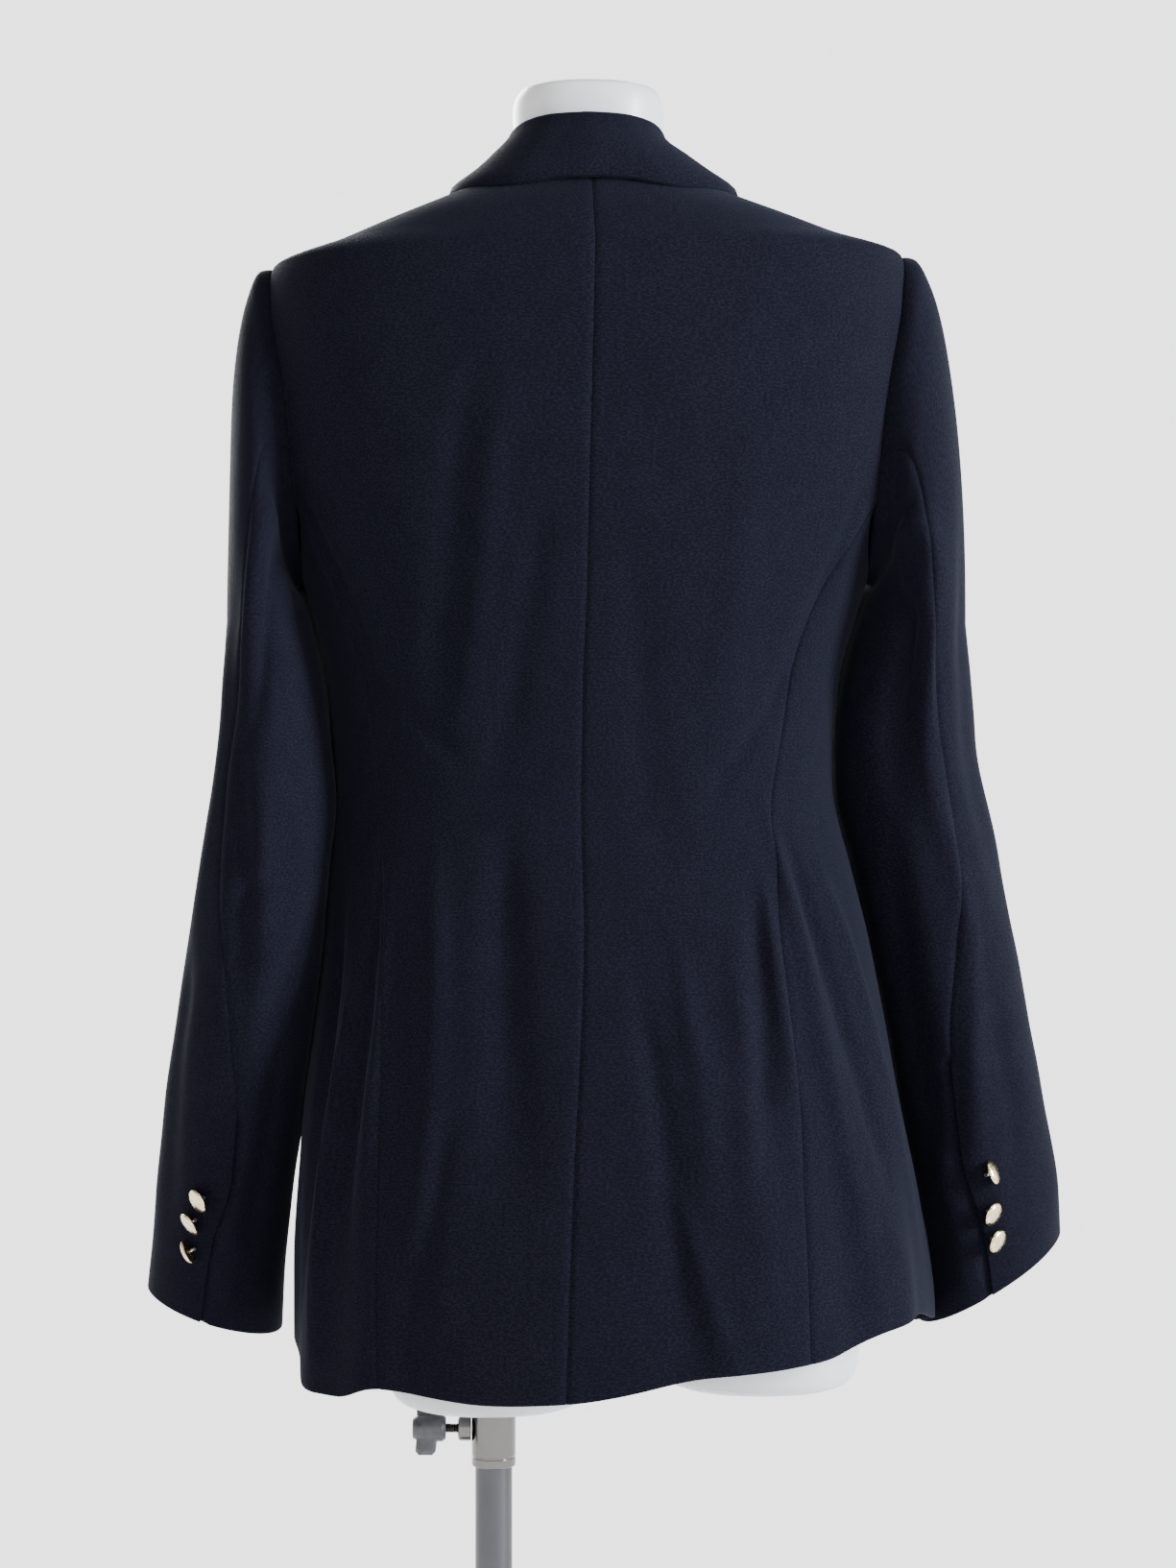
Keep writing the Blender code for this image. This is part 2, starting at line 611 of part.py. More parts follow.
def straight(points, share):
    """As polyline, with straight runs between the points."""
    points = np.array(points, float)
    reach = np.concatenate([[0], np.cumsum(np.linalg.norm(np.diff(points, axis=0), axis=1))])
    at = np.asarray(share) * reach[-1]
    return np.stack([np.interp(at, reach, points[:, 0]), np.interp(at, reach, points[:, 1])], -1)


def lapel_domain(side, rows, columns):
    """The lapel's points as distance towards its own side and height, between its four edges."""
    up, over = spread(0, 1, rows), spread(0, 1, columns)
    roll_end = (ROLL_TOP[0] - 0.5 * LAPEL_INSET, ROLL_TOP[1] - LAPEL_INSET)
    if side == "right":
        outer = polyline(LAPEL_OUTER_RIGHT, up)
        foot = (-OVERLAP_X + 0.2 * LAPEL_INSET, BREAK_Z + LAPEL_INSET)
        inner = straight([foot, roll_end], up)
    else:
        outer = polyline(LAPEL_OUTER_LEFT, up)
        cross_z = BREAK_Z + (ROLL_TOP[1] - BREAK_Z) * OVERLAP_X / (ROLL_TOP[0] + OVERLAP_X)
        foot = (LEFT_LAPEL_CLEAR - float(roll_line(np.array(LEFT_LAPEL_FOOT_Z))), LEFT_LAPEL_FOOT_Z)
        crossing = (1.1 * LEFT_LAPEL_CLEAR, cross_z + LEFT_LAPEL_CLEAR)
        inner = straight([foot, crossing, roll_end], up)
    top = straight([inner[-1], (NOTCH[0], NOTCH[1] - LAPEL_INSET), PEAK], over)
    foot = straight([inner[0], outer[0]], over)
    v, u = up[:, None, None], over[None, :, None]
    sides = inner[:, None] * (1 - u) + outer[:, None] * u
    ends = foot[None] * (1 - v) + top[None] * v
    corners = (
        inner[0] * (1 - u) * (1 - v) + outer[0] * u * (1 - v) + inner[-1] * (1 - u) * v + outer[-1] * u * v
    )
    return sides + ends - corners


def lapel(side, sign, finish):
    """The turned-back edge of one front, lying on that front."""
    flat = lapel_domain(side, 13, 7)
    x, z = flat[..., 0], flat[..., 1]
    across = spread(0, 1, flat.shape[1])[None, :]
    roll = LAPEL_ROLL * np.exp(-((across / LAPEL_ROLL_SHARE) ** 2))
    lift = lap_lift(x, z, side) + LAYER_GAP + roll + LAPEL_TIP_RISE * across**4
    phi = phi_front(x, z) * sign
    return wall("lapel_" + side, body_point(phi, z, lift + LAPEL_CLOTH), body_point(phi, z, lift), finish)


def gorge_section(sign):
    """The collar's last section: its folded end, the notch and the collar's point, as on the left front."""
    offsets = np.array(COLLAR_END)
    flat = np.array([ROLL_TOP, NOTCH, COLLAR_POINT]) + offsets[:, :2]
    phi = phi_front(flat[:, 0], flat[:, 1]) * sign
    return body_point(phi, flat[:, 1], offsets[:, 2]) * np.array([sign, 1, 1])


def collar_ring(seam, fold, middle, edge):
    """The collar's closed section: up the stand, over the fold and down the fall, and back inside."""
    seam, fold, middle, edge = (np.asarray(p, float) for p in (seam, fold, middle, edge))
    half = COLLAR_CLOTH / 2
    up = (fold - seam) / np.linalg.norm(fold - seam)
    down = (edge - fold) / np.linalg.norm(edge - fold)
    across = edge - seam
    across = across - up * (across @ up)
    across = across / np.linalg.norm(across)
    out = across - down * (across @ down)
    out = out / np.linalg.norm(out)
    stand = np.linalg.norm(fold - seam)
    valley = min(COLLAR_VALLEY, 0.45 * stand)
    halfway = (seam + fold) / 2
    return [
        edge + out * half,
        middle + out * (half + COLLAR_BOW),
        fold + down * COLLAR_VALLEY + out * half,
        fold + up * half + across * half * 0.9,
        fold + up * half - across * half * 0.6,
        fold - up * valley * 0.5 - across * half,
        halfway - across * half,
        seam - across * half,
        seam + across * half,
        halfway + across * half,
        fold - up * valley + across * half,
        middle - out * (half - COLLAR_BOW),
        edge - out * half,
    ]


def collar_half(sign, count):
    """The collar's sections from the centre back to the notch, as if on the left side."""
    stations = []
    for station, (seam, fold, edge_deg, edge_z, edge_lift) in enumerate(COLLAR_STATIONS):
        if sign > 0:
            edge_z = edge_z + COLLAR_LEFT_RISE * math.sin(math.pi * station / (len(COLLAR_STATIONS) - 1))
        edge = body_point(np.radians(edge_deg) * sign, np.array(edge_z), np.array(edge_lift))
        stations.append([seam, fold, edge * np.array([sign, 1, 1])])
    fold_end, notch, point = gorge_section(sign)
    rings, steps = [], range(len(stations))
    for at in spread(0, len(stations) - 1, count):
        seam, fold, edge = (
            np.array([float(smooth(steps, [row[k][i] for row in stations], at)) for i in range(3)])
            for k in range(3)
        )
        if at == 0:
            edge[0] = 0
        middle = fold + (edge - fold) * COLLAR_FALL_MIDDLE
        rings.append(collar_ring(seam, fold, middle, edge))
    seam_end = fold_end + np.array(COLLAR_END_SEAM)
    rings.append(collar_ring(seam_end, fold_end + np.array([0, 0, COLLAR_END_STAND]), notch, point))
    return np.array(rings)


def collar(finish):
    """The whole collar: a stand, a fold and a fall in one piece, from notch to notch."""
    left, right = (collar_half(sign, COLLAR_ROWS) * np.array([sign, 1, 1]) for sign in (1, -1))
    loops = np.concatenate([right[:0:-1], left])
    low, high = ease_over(loops[..., 2], COLLAR_SHIFT_LOW_Z), ease_over(loops[..., 2], COLLAR_SHIFT_HIGH_Z)
    loops[..., 0] += COLLAR_SHIFT_X * low * (1 - high)
    rows, columns = loops.shape[:2]
    faces = []
    for r in range(rows - 1):
        for c in range(columns):
            d = (c + 1) % columns
            faces.append((r * columns + c, r * columns + d, (r + 1) * columns + d, (r + 1) * columns + c))
    # Each end is closed by strips between the outer and the inner side of the section
    for start, turn in ((0, 1), ((rows - 1) * columns, -1)):
        for a, b, c, d in ((0, 1, 11, 12), (1, 2, 10, 11), (2, 3, 9, 10), (3, 4, 6, 9), (6, 7, 8, 9)):
            faces.append(tuple(start + i for i in (a, b, c, d))[::turn])
        faces.append(tuple(start + i for i in (4, 5, 6))[::turn])
    return add_mesh("collar", loops.reshape(-1, 3), faces, finish)


def sleeve_column(name, z):
    return from_table(SLEEVE_COLUMNS, SLEEVE_SECTIONS[::-1], name, z)


def armhole_point(angle, side):
    """The armhole's edge, as on the left; the angle is 0 at the shoulder tip, then goes to the back."""
    reach = np.where(np.sin(angle) >= 0, math.radians(ARMHOLE_BACK_DEG), math.radians(ARMHOLE_FRONT_DEG))
    phi = math.pi / 2 - reach * np.sin(angle)
    sign = SIGN[side]
    edge = body_base(phi * sign, ARMHOLE_MID_Z + ARMHOLE_HALF_HEIGHT * np.cos(angle))
    return edge * np.array([sign, 1, 1])


def tube_point(angle, z, side):
    """A point of the sleeve below the underarm, as the left sleeve."""
    middle = np.stack([sleeve_column(side + "_x", z), sleeve_column(side + "_y", z), z], -1)
    half = sleeve_column(side + "_half", z)
    depth = sleeve_column("half_depth", z)
    low = ease_over(z, CUFF_LEAN_Z)
    lean = CUFF_TILT[side] * low
    off = (np.degrees(angle) - LEAN_DEG[side] + 180) % 360 - 180
    lean_in = from_table(LEAN_COLUMNS, LEAN, side, z) * np.exp(-((off / LEAN_HALF_DEG) ** 2))
    x = half * np.cos(angle) - lean_in
    y = depth * np.sin(angle)
    return middle + np.stack([x, y, x * lean - y * CUFF_LEAN_BACK * low], -1)


def off_the_body(points, side, room):
    """Points of a sleeve, moved out to where they clear the body by some room."""
    x, y, z = points[..., 0] * SIGN[side], points[..., 1], points[..., 2]
    wanted = np.arctan2(x, y)
    phi = wanted
    for _ in range(5):
        surface = body_base(phi, z)
        turn = wanted - np.arctan2(surface[..., 0], surface[..., 1])
        phi = phi + (turn + math.pi) % (2 * math.pi) - math.pi
    surface = body_base(phi, z)
    least = np.hypot(surface[..., 0], surface[..., 1]) + room
    reach = np.hypot(x, y)
    apart = least - reach
    pushed = reach + 0.5 * (apart + np.sqrt(apart**2 + TOUCH_SOFTNESS**2))
    share = np.where(room > 0, pushed / reach, 1.0)
    return points * np.stack([share, share, np.ones_like(share)], -1)


def sleeve_base(angle, along, side):
    """The outer surface of a sleeve: along is 0 at the armhole and 1 at the cuff."""
    angle, along = np.broadcast_arrays(np.asarray(angle, float), np.asarray(along, float))
    top_z, foot_z = SLEEVE_SECTIONS[0][0], CUFF_FOOT_Z[side]
    down = np.clip((along - CAP_SHARE) / (1 - CAP_SHARE), 0, None)
    low = tube_point(angle, top_z + (foot_z - top_z) * down, side)
    start = armhole_point(angle, side)
    end = tube_point(angle, np.full(angle.shape, top_z), side)
    reach = np.linalg.norm(end - start, axis=-1)
    outward = np.stack([np.ones_like(angle), np.sin(angle), np.cos(angle)], -1) * np.array(CAP_SPREAD)
    outward = outward / np.linalg.norm(outward, axis=-1, keepdims=True)
    first = start + outward * np.minimum(CAP_OUT, reach * CAP_OUT_SHARE)[..., None]
    last = end + np.stack([0 * reach, 0 * reach, reach * CAP_DOWN_SHARE], -1)
    t = np.clip(along / CAP_SHARE, 0, 1)[..., None]
    cap = start * (1 - t) ** 3 + 3 * first * t * (1 - t) ** 2 + 3 * last * t * t * (1 - t) + end * t**3
    whole = np.where((along < CAP_SHARE)[..., None], cap, low)
    return off_the_body(whole, side, SLEEVE_ROOM * ease_over(along, ROOM_ALONG))


def sleeve_point(angle, along, side, inwards=0.0):
    """A point of a sleeve's wall, moved in along the surface's normal."""
    def surface(u, v):
        return sleeve_base(u, v, side)

    inside = np.clip(along, *SLEEVE_NORMAL_SPAN)
    normal = normals_of(surface, angle, inside, *SLEEVE_NEAR)
    return surface(angle, along) - normal * inwards


def sleeve_gap(angle, along, side):
    """Half the gap at a sleeve's seam, as an angle round the sleeve."""
    along = np.maximum(along, SLEEVE_FIRST_ALONG)
    near = SLEEVE_NEAR[0]
    reach = sleeve_base(angle + near, along, side) - sleeve_base(angle - near, along, side)
    return near * SLEEVE_SEAM_GAP / np.linalg.norm(reach, axis=-1)


def sleeve_part(kind, side, sign, finish):
    """The upper or the under part of a two-piece sleeve, between its back and front seams."""
    cap = spread(SLEEVE_FIRST_ALONG, CAP_SHARE, 6)
    along = np.concatenate([[SLEEVE_START], cap, spread(CAP_SHARE, 1, 12)[1:]])
    seam = np.radians(from_table(ARM_SEAM_COLUMNS, ARM_SEAM, side, along))
    front_seam = math.radians(ARM_FRONT_SEAM_DEG)
    gap = sleeve_gap(seam, along, side)
    front_gap = sleeve_gap(0 * seam + front_seam, along, side)
    if kind == "upper":
        low, high, columns = front_seam - 2 * math.pi + front_gap, seam - gap, 15
    else:
        low, high, columns = seam + gap, front_seam - front_gap, 9
    share = spread(0, 1, columns)[None, :]
    angle = low[:, None] * (1 - share) + high[:, None] * share
    along = np.repeat(along[:, None], columns, 1)
    flip = np.array([sign, 1, 1])
    outer = sleeve_point(angle, along, side) * flip
    inner = sleeve_point(angle, along, side, CLOTH) * flip
    return wall("sleeve_" + kind + "_" + side, outer, inner, finish)


def turned(name, profile, sides, finish, smooth_deg=40.0):
    """A closed turned solid about its own Z axis; the profile is radius and height pairs."""
    points, faces, rings = [], [], []
    for radius, height in profile:
        if radius == 0:
            rings.append([len(points)])
            points.append((0, 0, height))
            continue
        start = len(points)
        for i in range(sides):
            angle = 2 * math.pi * i / sides
            points.append((radius * math.cos(angle), radius * math.sin(angle), height))
        rings.append(list(range(start, start + sides)))
    for below, above in zip(rings, rings[1:]):
        for i in range(sides):
            j = (i + 1) % sides
            foot = [below[i % len(below)], below[j % len(below)]]
            corners = foot + [above[j % len(above)], above[i % len(above)]]
            faces.append([p for n, p in enumerate(corners) if p not in corners[:n]])
    if profile[0][0] > 0 and profile[0] != profile[-1]:
        faces.append(rings[0][::-1])
        faces.append(rings[-1])
    return add_mesh(name, points, faces, finish, smooth_deg)


def button(name, radius, place, facing, finish, tip=(0.0, 0.0)):
    """A domed shank button: its foot at place, its face turned to facing and then tipped in degrees."""
    profile = [(0, 0)] + [(share * radius, height) for share, height in BUTTON_PROFILE]
    made = turned(name, profile, 14, finish)
    facing = Vector(facing).normalized()
    turn = facing.to_track_quat("Z", "Y").to_matrix().to_4x4()
    tilt = Matrix.Rotation(math.radians(tip[0]), 4, "X") @ Matrix.Rotation(math.radians(tip[1]), 4, "Y")
    made.data.transform(Matrix.Translation(Vector(place)) @ turn @ tilt)
    return made


def cuff_buttons(side, sign, finish):
    for number, row in enumerate(CUFF_BUTTONS[side], 1):
        along, in_deg, tip_back, tip_out = row
        seam_deg = float(from_table(ARM_SEAM_COLUMNS, ARM_SEAM, side, along))
        angle = np.radians(seam_deg - in_deg)
        outer = sleeve_point(angle, np.array(along), side)
        facing = outer - sleeve_point(angle, np.array(along), side, 0.01)
        facing = facing / np.linalg.norm(facing)
        tipped = math.radians(max(abs(tip_back), abs(tip_out)))
        room = LAYER_GAP + BUTTON_PROFILE[0][0] * CUFF_BUTTON_R * math.sin(tipped)
        flip = np.array([sign, 1, 1])
        name = f"cuff_button_{side}_{number}"
        seat = (outer + facing * room) * flip
        button(name, CUFF_BUTTON_R, seat, facing * flip, finish, (tip_back, tip_out))


def front_buttons(finish):
    """Two columns on the right front, which lies on top."""
    for number, z in enumerate(FRONT_BUTTON_ROWS, 1):
        for label, x in (("outer", FRONT_BUTTON_X), ("inner", -FRONT_BUTTON_X)):
            phi, level = -phi_front(np.array(x), np.array(z)), np.array(z)
            lift = lap_lift(np.array(x), level, "right") + FRONT_BUTTON_LIFT
            place = body_point(phi, level, lift)
            facing = place - body_point(phi, level, lift - 0.01)
            button(f"front_button_{label}_{number}", FRONT_BUTTON_R, place, facing, finish)


def loft(name, rings, finish):
    """A closed solid through rings of points, with its two ends filled."""
    rows, columns = len(rings), len(rings[0])
    faces = []
    for r in range(rows - 1):
        for c in range(columns):
            d = (c + 1) % columns
            faces.append((r * columns + c, r * columns + d, (r + 1) * columns + d, (r + 1) * columns + c))
    faces.append(tuple(range(columns))[::-1])
    faces.append(tuple((rows - 1) * columns + c for c in range(columns)))
    return add_mesh(name, np.concatenate(rings), faces, finish, 60.0)


def oval_ring(half_width, back, front, middle, z, sides):
    phi = spread(0, 2 * math.pi, sides + 1)[:-1]
    x, y = section(half_width, back, front, phi)
    return np.stack([x + middle[0], y + middle[1], z - shoulder_drop(x, 0 * x + z)], -1)


def helper(thing):
    thing.hide_render = True
    thing.display_type = "WIRE"
    return thing


def join(target, other, operation):
    modifier = target.modifiers.new(operation.title(), "BOOLEAN")
    modifier.operation = operation
    modifier.object = helper(other)
    modifier.solver = "EXACT"


def dress_form(finish):
    """A smooth limbless torso with a neck and two short thigh ends, and the bore that takes the pole."""
    rings = []
    for row in FORM_SECTIONS:
        z, width, back, front, shift = row
        rings.append(oval_ring(width, back, front, (shift, 0.0), z, FORM_SIDES))
    torso = loft("form_torso", rings, finish)
    for side, (x, rise) in STUBS.items():
        rings = [oval_ring(w, d, d, (x, POLE_XY[1]), z + rise, 24) for z, w, d in STUB_SECTIONS]
        join(torso, loft("guide_stub_" + side, rings, finish), "UNION")
    depth = BORE_TOP_Z - STUB_BOTTOM_Z + BORE_OVERRUN
    bore = turned("guide_bore", ((0, 0), (BORE_R, 0), (BORE_R, depth), (0, depth)), 24, finish)
    bore.location = (*POLE_XY, WAIST_Z + STUB_BOTTOM_Z - BORE_OVERRUN)
    join(torso, bore, "DIFFERENCE")
    return torso


def stand(steel, black, chrome):
    """The pole and its base, the socket under the form and the clamp screw."""
    shoulder = BASE_THICK - PLATE_EDGE
    plate = ((0, 0), (BASE_R, 0), (BASE_R, shoulder), (BASE_R - PLATE_EDGE, BASE_THICK), (0, BASE_THICK))
    base = turned("base_plate", plate, 64, steel)
    base.location = (0, 0, 0)
    hub_z = BASE_THICK + LAYER_GAP
    hub_hole = POLE_R + LAYER_GAP
    hub_profile = (
        (hub_hole, 0), (HUB_FOOT_R, 0), (HUB_FOOT_R, 0.5 * (HUB_FOOT_R - HUB_R)), (HUB_R, HUB_FOOT_R - HUB_R),
        (HUB_R - 0.5 * (HUB_FOOT_R - HUB_R), HUB_HEIGHT), (hub_hole, HUB_HEIGHT), (hub_hole, 0),
    )
    hub = turned("base_hub", hub_profile, 28, steel)
    hub.location = (*POLE_XY, hub_z)
    length = WAIST_Z + POLE_TOP_Z - hub_z
    rod = ((0, 0), (POLE_R, 0), (POLE_R, length - POLE_EDGE), (POLE_R - POLE_EDGE, length), (0, length))
    pole = turned("pole", rod, 28, steel)
    pole.location = (*POLE_XY, hub_z)
    inner = POLE_R + LAYER_GAP
    height = STUB_BOTTOM_Z - LAYER_GAP - SOCKET_BOTTOM_Z
    tube = ((inner, 0), (SOCKET_R, 1.5 * LAYER_GAP), (SOCKET_R, height), (inner, height), (inner, 0))
    socket = turned("pole_socket", tube, 28, chrome)
    socket.location = (*POLE_XY, WAIST_Z + SOCKET_BOTTOM_Z)
    out = Matrix.Rotation(math.radians(90), 4, "Y")
    at = Vector((*POLE_XY, WAIST_Z + CLAMP_Z))
    nut_profile = (
        (NUT_HOLE_R, 0), (NUT_R, 0), (NUT_R, NUT_LONG - 0.8 * NUT_EDGE), (NUT_R - NUT_EDGE, NUT_LONG),
        (NUT_HOLE_R, NUT_LONG), (NUT_HOLE_R, 0),
    )
    nut = turned("clamp_nut", nut_profile, 6, chrome, 30)
    screw_profile = ((0, 0), (SCREW_R, 0), (SCREW_R, SCREW_LONG), (0, SCREW_LONG))
    screw = turned("clamp_screw", screw_profile, 14, chrome)
    seat = Matrix.Translation(at) @ out @ Matrix.Translation((0, 0, SOCKET_R + LAYER_GAP))
    for piece in (nut, screw):
        piece.data.transform(seat)
        piece.location = (0, 0, 0)
    knob(at, black)


def knob(at, finish):
    """The clamp's wing: a round hub with one swept lobe above and one below its axis."""
    wing = turned("clamp_knob", KNOB_PROFILE, 16, finish)
    angle = spread(0, 2 * math.pi, 25)[:-1]
    near_axis = np.abs(np.cos(angle)) > math.sqrt(0.5) - NEAR_ANGLE
    rim = LOBE_R * (1 + LOBE_REACH * np.cos(2 * angle) ** 2 * near_axis)
    sweep = LOBE_SWEEP * (rim - LOBE_R)
    rings = []
    for grow, height in LOBE_RINGS:
        across = LOBE_FLAT * rim * grow * np.sin(angle)
        rings.append(np.stack([rim * grow * np.cos(angle), across, height + sweep], -1))
    blades = loft("guide_wing", rings, finish)
    wing.location = blades.location = (0, 0, 0)
    offset = Matrix.Translation(at) @ Matrix.Rotation(math.radians(90), 4, "Y")
    lean = Matrix.Rotation(math.radians(KNOB_LEAN_DEG), 4, "Z")
    reach = Matrix.Translation((0, 0, SOCKET_R + LAYER_GAP + KNOB_OUT))
    for piece in (wing, blades):
        piece.data.transform(offset @ reach @ lean)
    join(wing, blades, "UNION")


def build():
    clear_scene()
    navy = material("navy_wool", (0.022, 0.028, 0.050), 0.85)
    gilt = material("gilt_button", (0.72, 0.60, 0.38), 0.25, 1.0)
    shell = material("white_form", (0.80, 0.79, 0.78), 0.45)
    steel = material("grey_steel", (0.42, 0.41, 0.43), 0.35, 1.0)
    chrome = material("bright_socket", (0.80, 0.78, 0.74), 0.18, 1.0)
    black = material("black_plastic", (0.02, 0.025, 0.03), 0.4)
    for side, sign in (("left", 1), ("right", -1)):
        back_panel(side, sign, navy)
        side_panel(side, sign, navy)
        front_panel(side, sign, navy)
        lapel(side, sign, navy)
        sleeve_part("upper", side, sign, navy)
        sleeve_part("under", side, sign, navy)
        cuff_buttons(side, sign, gilt)
    collar(navy)
    front_buttons(gilt)
    dress_form(shell)
    stand(steel, black, chrome)


build()
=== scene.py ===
"""Looks of the double-breasted blazer on its limbless dress form.

The cloth is made again as thin, fine shells on the form of its solids, with the creases that it
hangs in. Tables and heights of the garment are above the waist line, WAIST_Z over the floor.
The wearer's back faces +Y, which is the side that the camera looks at.
"""

import math

import bmesh
import bpy
import numpy as np
from mathutils import Matrix, Vector


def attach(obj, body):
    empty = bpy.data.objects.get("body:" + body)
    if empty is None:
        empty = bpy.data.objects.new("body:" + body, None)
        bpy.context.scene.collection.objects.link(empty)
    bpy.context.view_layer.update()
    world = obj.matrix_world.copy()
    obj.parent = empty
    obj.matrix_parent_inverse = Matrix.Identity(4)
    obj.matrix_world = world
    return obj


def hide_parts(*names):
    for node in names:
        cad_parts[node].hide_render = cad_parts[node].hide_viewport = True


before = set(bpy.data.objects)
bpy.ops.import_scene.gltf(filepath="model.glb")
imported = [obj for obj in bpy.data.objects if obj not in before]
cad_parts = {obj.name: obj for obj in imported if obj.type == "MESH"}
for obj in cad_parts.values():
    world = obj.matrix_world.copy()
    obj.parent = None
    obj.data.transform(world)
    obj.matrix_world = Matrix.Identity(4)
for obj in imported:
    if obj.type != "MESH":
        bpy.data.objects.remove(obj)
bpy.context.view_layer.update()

# The photograph's frame and the lens that it was taken with
PHOTO_WIDTH, PHOTO_HEIGHT = 1225, 1633
FOCAL_PIXELS = 3134
SENSOR = 36.0
CAMERA_AWAY = 1.80
WAIST_Z = 1.08


def photo_camera():
    lens = bpy.data.cameras.new("photo_camera")
    lens.sensor_fit = "VERTICAL"
    lens.sensor_height = SENSOR
    lens.lens = FOCAL_PIXELS / PHOTO_HEIGHT * SENSOR
    lens.clip_start = 0.05
    lens.clip_end = 40.0
    camera = bpy.data.objects.new("photo_camera", lens)
    camera.location = (0.0, CAMERA_AWAY, WAIST_Z)
    camera.rotation_euler = (math.radians(90), 0.0, math.radians(180))
    bpy.context.scene.collection.objects.link(camera)
    bpy.context.scene.camera = camera


CLOTH = 0.0020
LAPEL_CLOTH = 0.0024
COLLAR_CLOTH = 0.0028
LAYER_GAP = 0.0004
HEM_Z = -0.334
SHOULDER_TIP_Z = 0.3105
SHOULDER_DROP = 0.105
SHOULDER_DROP_Z = (0.22, 0.30)
BACK_NECK_Z = 0.3560
ARMHOLE_MID_Z = 0.2150
ARMHOLE_HALF_HEIGHT = 0.0955
ARMHOLE_BACK_DEG = 25.0
ARMHOLE_FRONT_DEG = 29.0
FULLNESS = 0.22
SIGN = {"left": 1, "right": -1}
NEAR_ANGLE = 0.004
NEAR_HEIGHT = 0.0015
OVERLAP_X = 0.075
BREAK_Z = 0.030
LAP_ROOM = 0.0004
LAP_LIFT = CLOTH + LAYER_GAP + LAP_ROOM
LAP_END_X = (0.082, 0.116)
LAP_END_Z = (0.215, 0.270)
BODY_COLUMNS = ("z", "half_width", "back", "front")
BODY_SECTIONS = (
    (-0.345, 0.1910, 0.1270, 0.1230),
    (-0.280, 0.1880, 0.1265, 0.1225),
    (-0.200, 0.1790, 0.1200, 0.1190),
    (-0.120, 0.1675, 0.1060, 0.1120),
    (-0.050, 0.1570, 0.0930, 0.1060),
    (0.000, 0.1489, 0.0880, 0.1050),
    (0.055, 0.1520, 0.0900, 0.1125),
    (0.110, 0.1650, 0.0950, 0.1200),
    (0.150, 0.1780, 0.0985, 0.1190),
    (0.190, 0.1880, 0.1010, 0.1140),
    (0.230, 0.1935, 0.1010, 0.1040),
    (0.268, 0.1960, 0.0975, 0.0900),
    (0.292, 0.1930, 0.0925, 0.0790),
    (0.3105, 0.1874, 0.0880, 0.0700),
    (0.3222, 0.1535, 0.0835, 0.0640),
    (0.3342, 0.1230, 0.0780, 0.0580),
    (0.3462, 0.0910, 0.0695, 0.0530),
    (0.3560, 0.0665, 0.0610, 0.0500),
)
HANG_COLUMNS = ("z", "shift_x", "turn_deg")
HANG_SECTIONS = (
    (-0.345, -0.0137, 5.0),
    (-0.220, -0.0090, 3.2),
    (-0.100, -0.0043, 1.2),
    (0.000, 0.0030, 0.0),
    (0.055, 0.0034, 0.0),
    (0.110, 0.0020, 0.0),
    (0.360, 0.0000, 0.0),
)
# Each row gives top deg, foot deg, top z, foot z, half deg, depth
FOLDS = (
    (-62.0, -66.0, -0.080, -0.350, 7.0, 0.0060),
    (-50.0, -50.0, -0.120, -0.350, 6.0, -0.0035),
    (-22.0, -30.0, -0.110, -0.240, 6.0, 0.0025),
    (-6.0, -16.0, -0.190, -0.350, 6.0, -0.0025),
    (58.0, 60.0, -0.080, -0.350, 7.0, 0.0055),
    (78.0, 76.0, -0.180, -0.350, 7.0, -0.0035),
    (42.0, 44.0, -0.050, -0.300, 5.0, 0.0030),
    (-96.0, -98.0, -0.150, -0.350, 9.0, 0.0045),
    (104.0, 108.0, -0.150, -0.350, 9.0, 0.0045),
)
SEAM_COLUMNS = ("z", "centre", "back_left", "back_right", "front_left", "front_right")
SEAMS = (
    (-0.345, 4.6, 39.8, 39.6, 118.0, 118.0),
    (-0.240, 3.4, 41.0, 40.4, 117.0, 117.0),
    (-0.180, 2.7, 42.6, 41.6, 117.0, 117.0),
    (-0.100, 1.6, 46.5, 41.7, 116.0, 116.0),
    (-0.030, 0.7, 50.8, 45.0, 116.0, 116.0),
    (0.030, 0.0, 54.0, 50.7, 116.0, 116.0),
    (0.100, -0.4, 60.6, 55.6, 115.0, 115.0),
    (0.150, -0.6, 66.0, 64.8, 113.5, 113.5),
    (0.175, -0.7, 71.4, 71.4, 113.0, 113.0),
    (0.356, -1.6, 80.0, 80.0, 110.0, 110.0),
)
HEM_COLUMNS = ("deg", "z")
HEM = (
    (-180.0, -0.336),
    (-130.0, -0.334),
    (-90.0, -0.316),
    (-72.0, -0.307),
    (-60.0, -0.311),
    (-45.0, -0.323),
    (-20.0, -0.331),
    (5.0, -0.346),
    (18.0, -0.348),
    (40.0, -0.343),
    (52.0, -0.351),
    (62.0, -0.350),
    (75.0, -0.338),
    (92.0, -0.328),
    (130.0, -0.334),
    (180.0, -0.336),
)
HEM_REACH = 0.12
SLEEVE_COLUMNS = ("z", "left_x", "left_half", "left_y", "right_x", "right_half", "right_y", "half_depth")
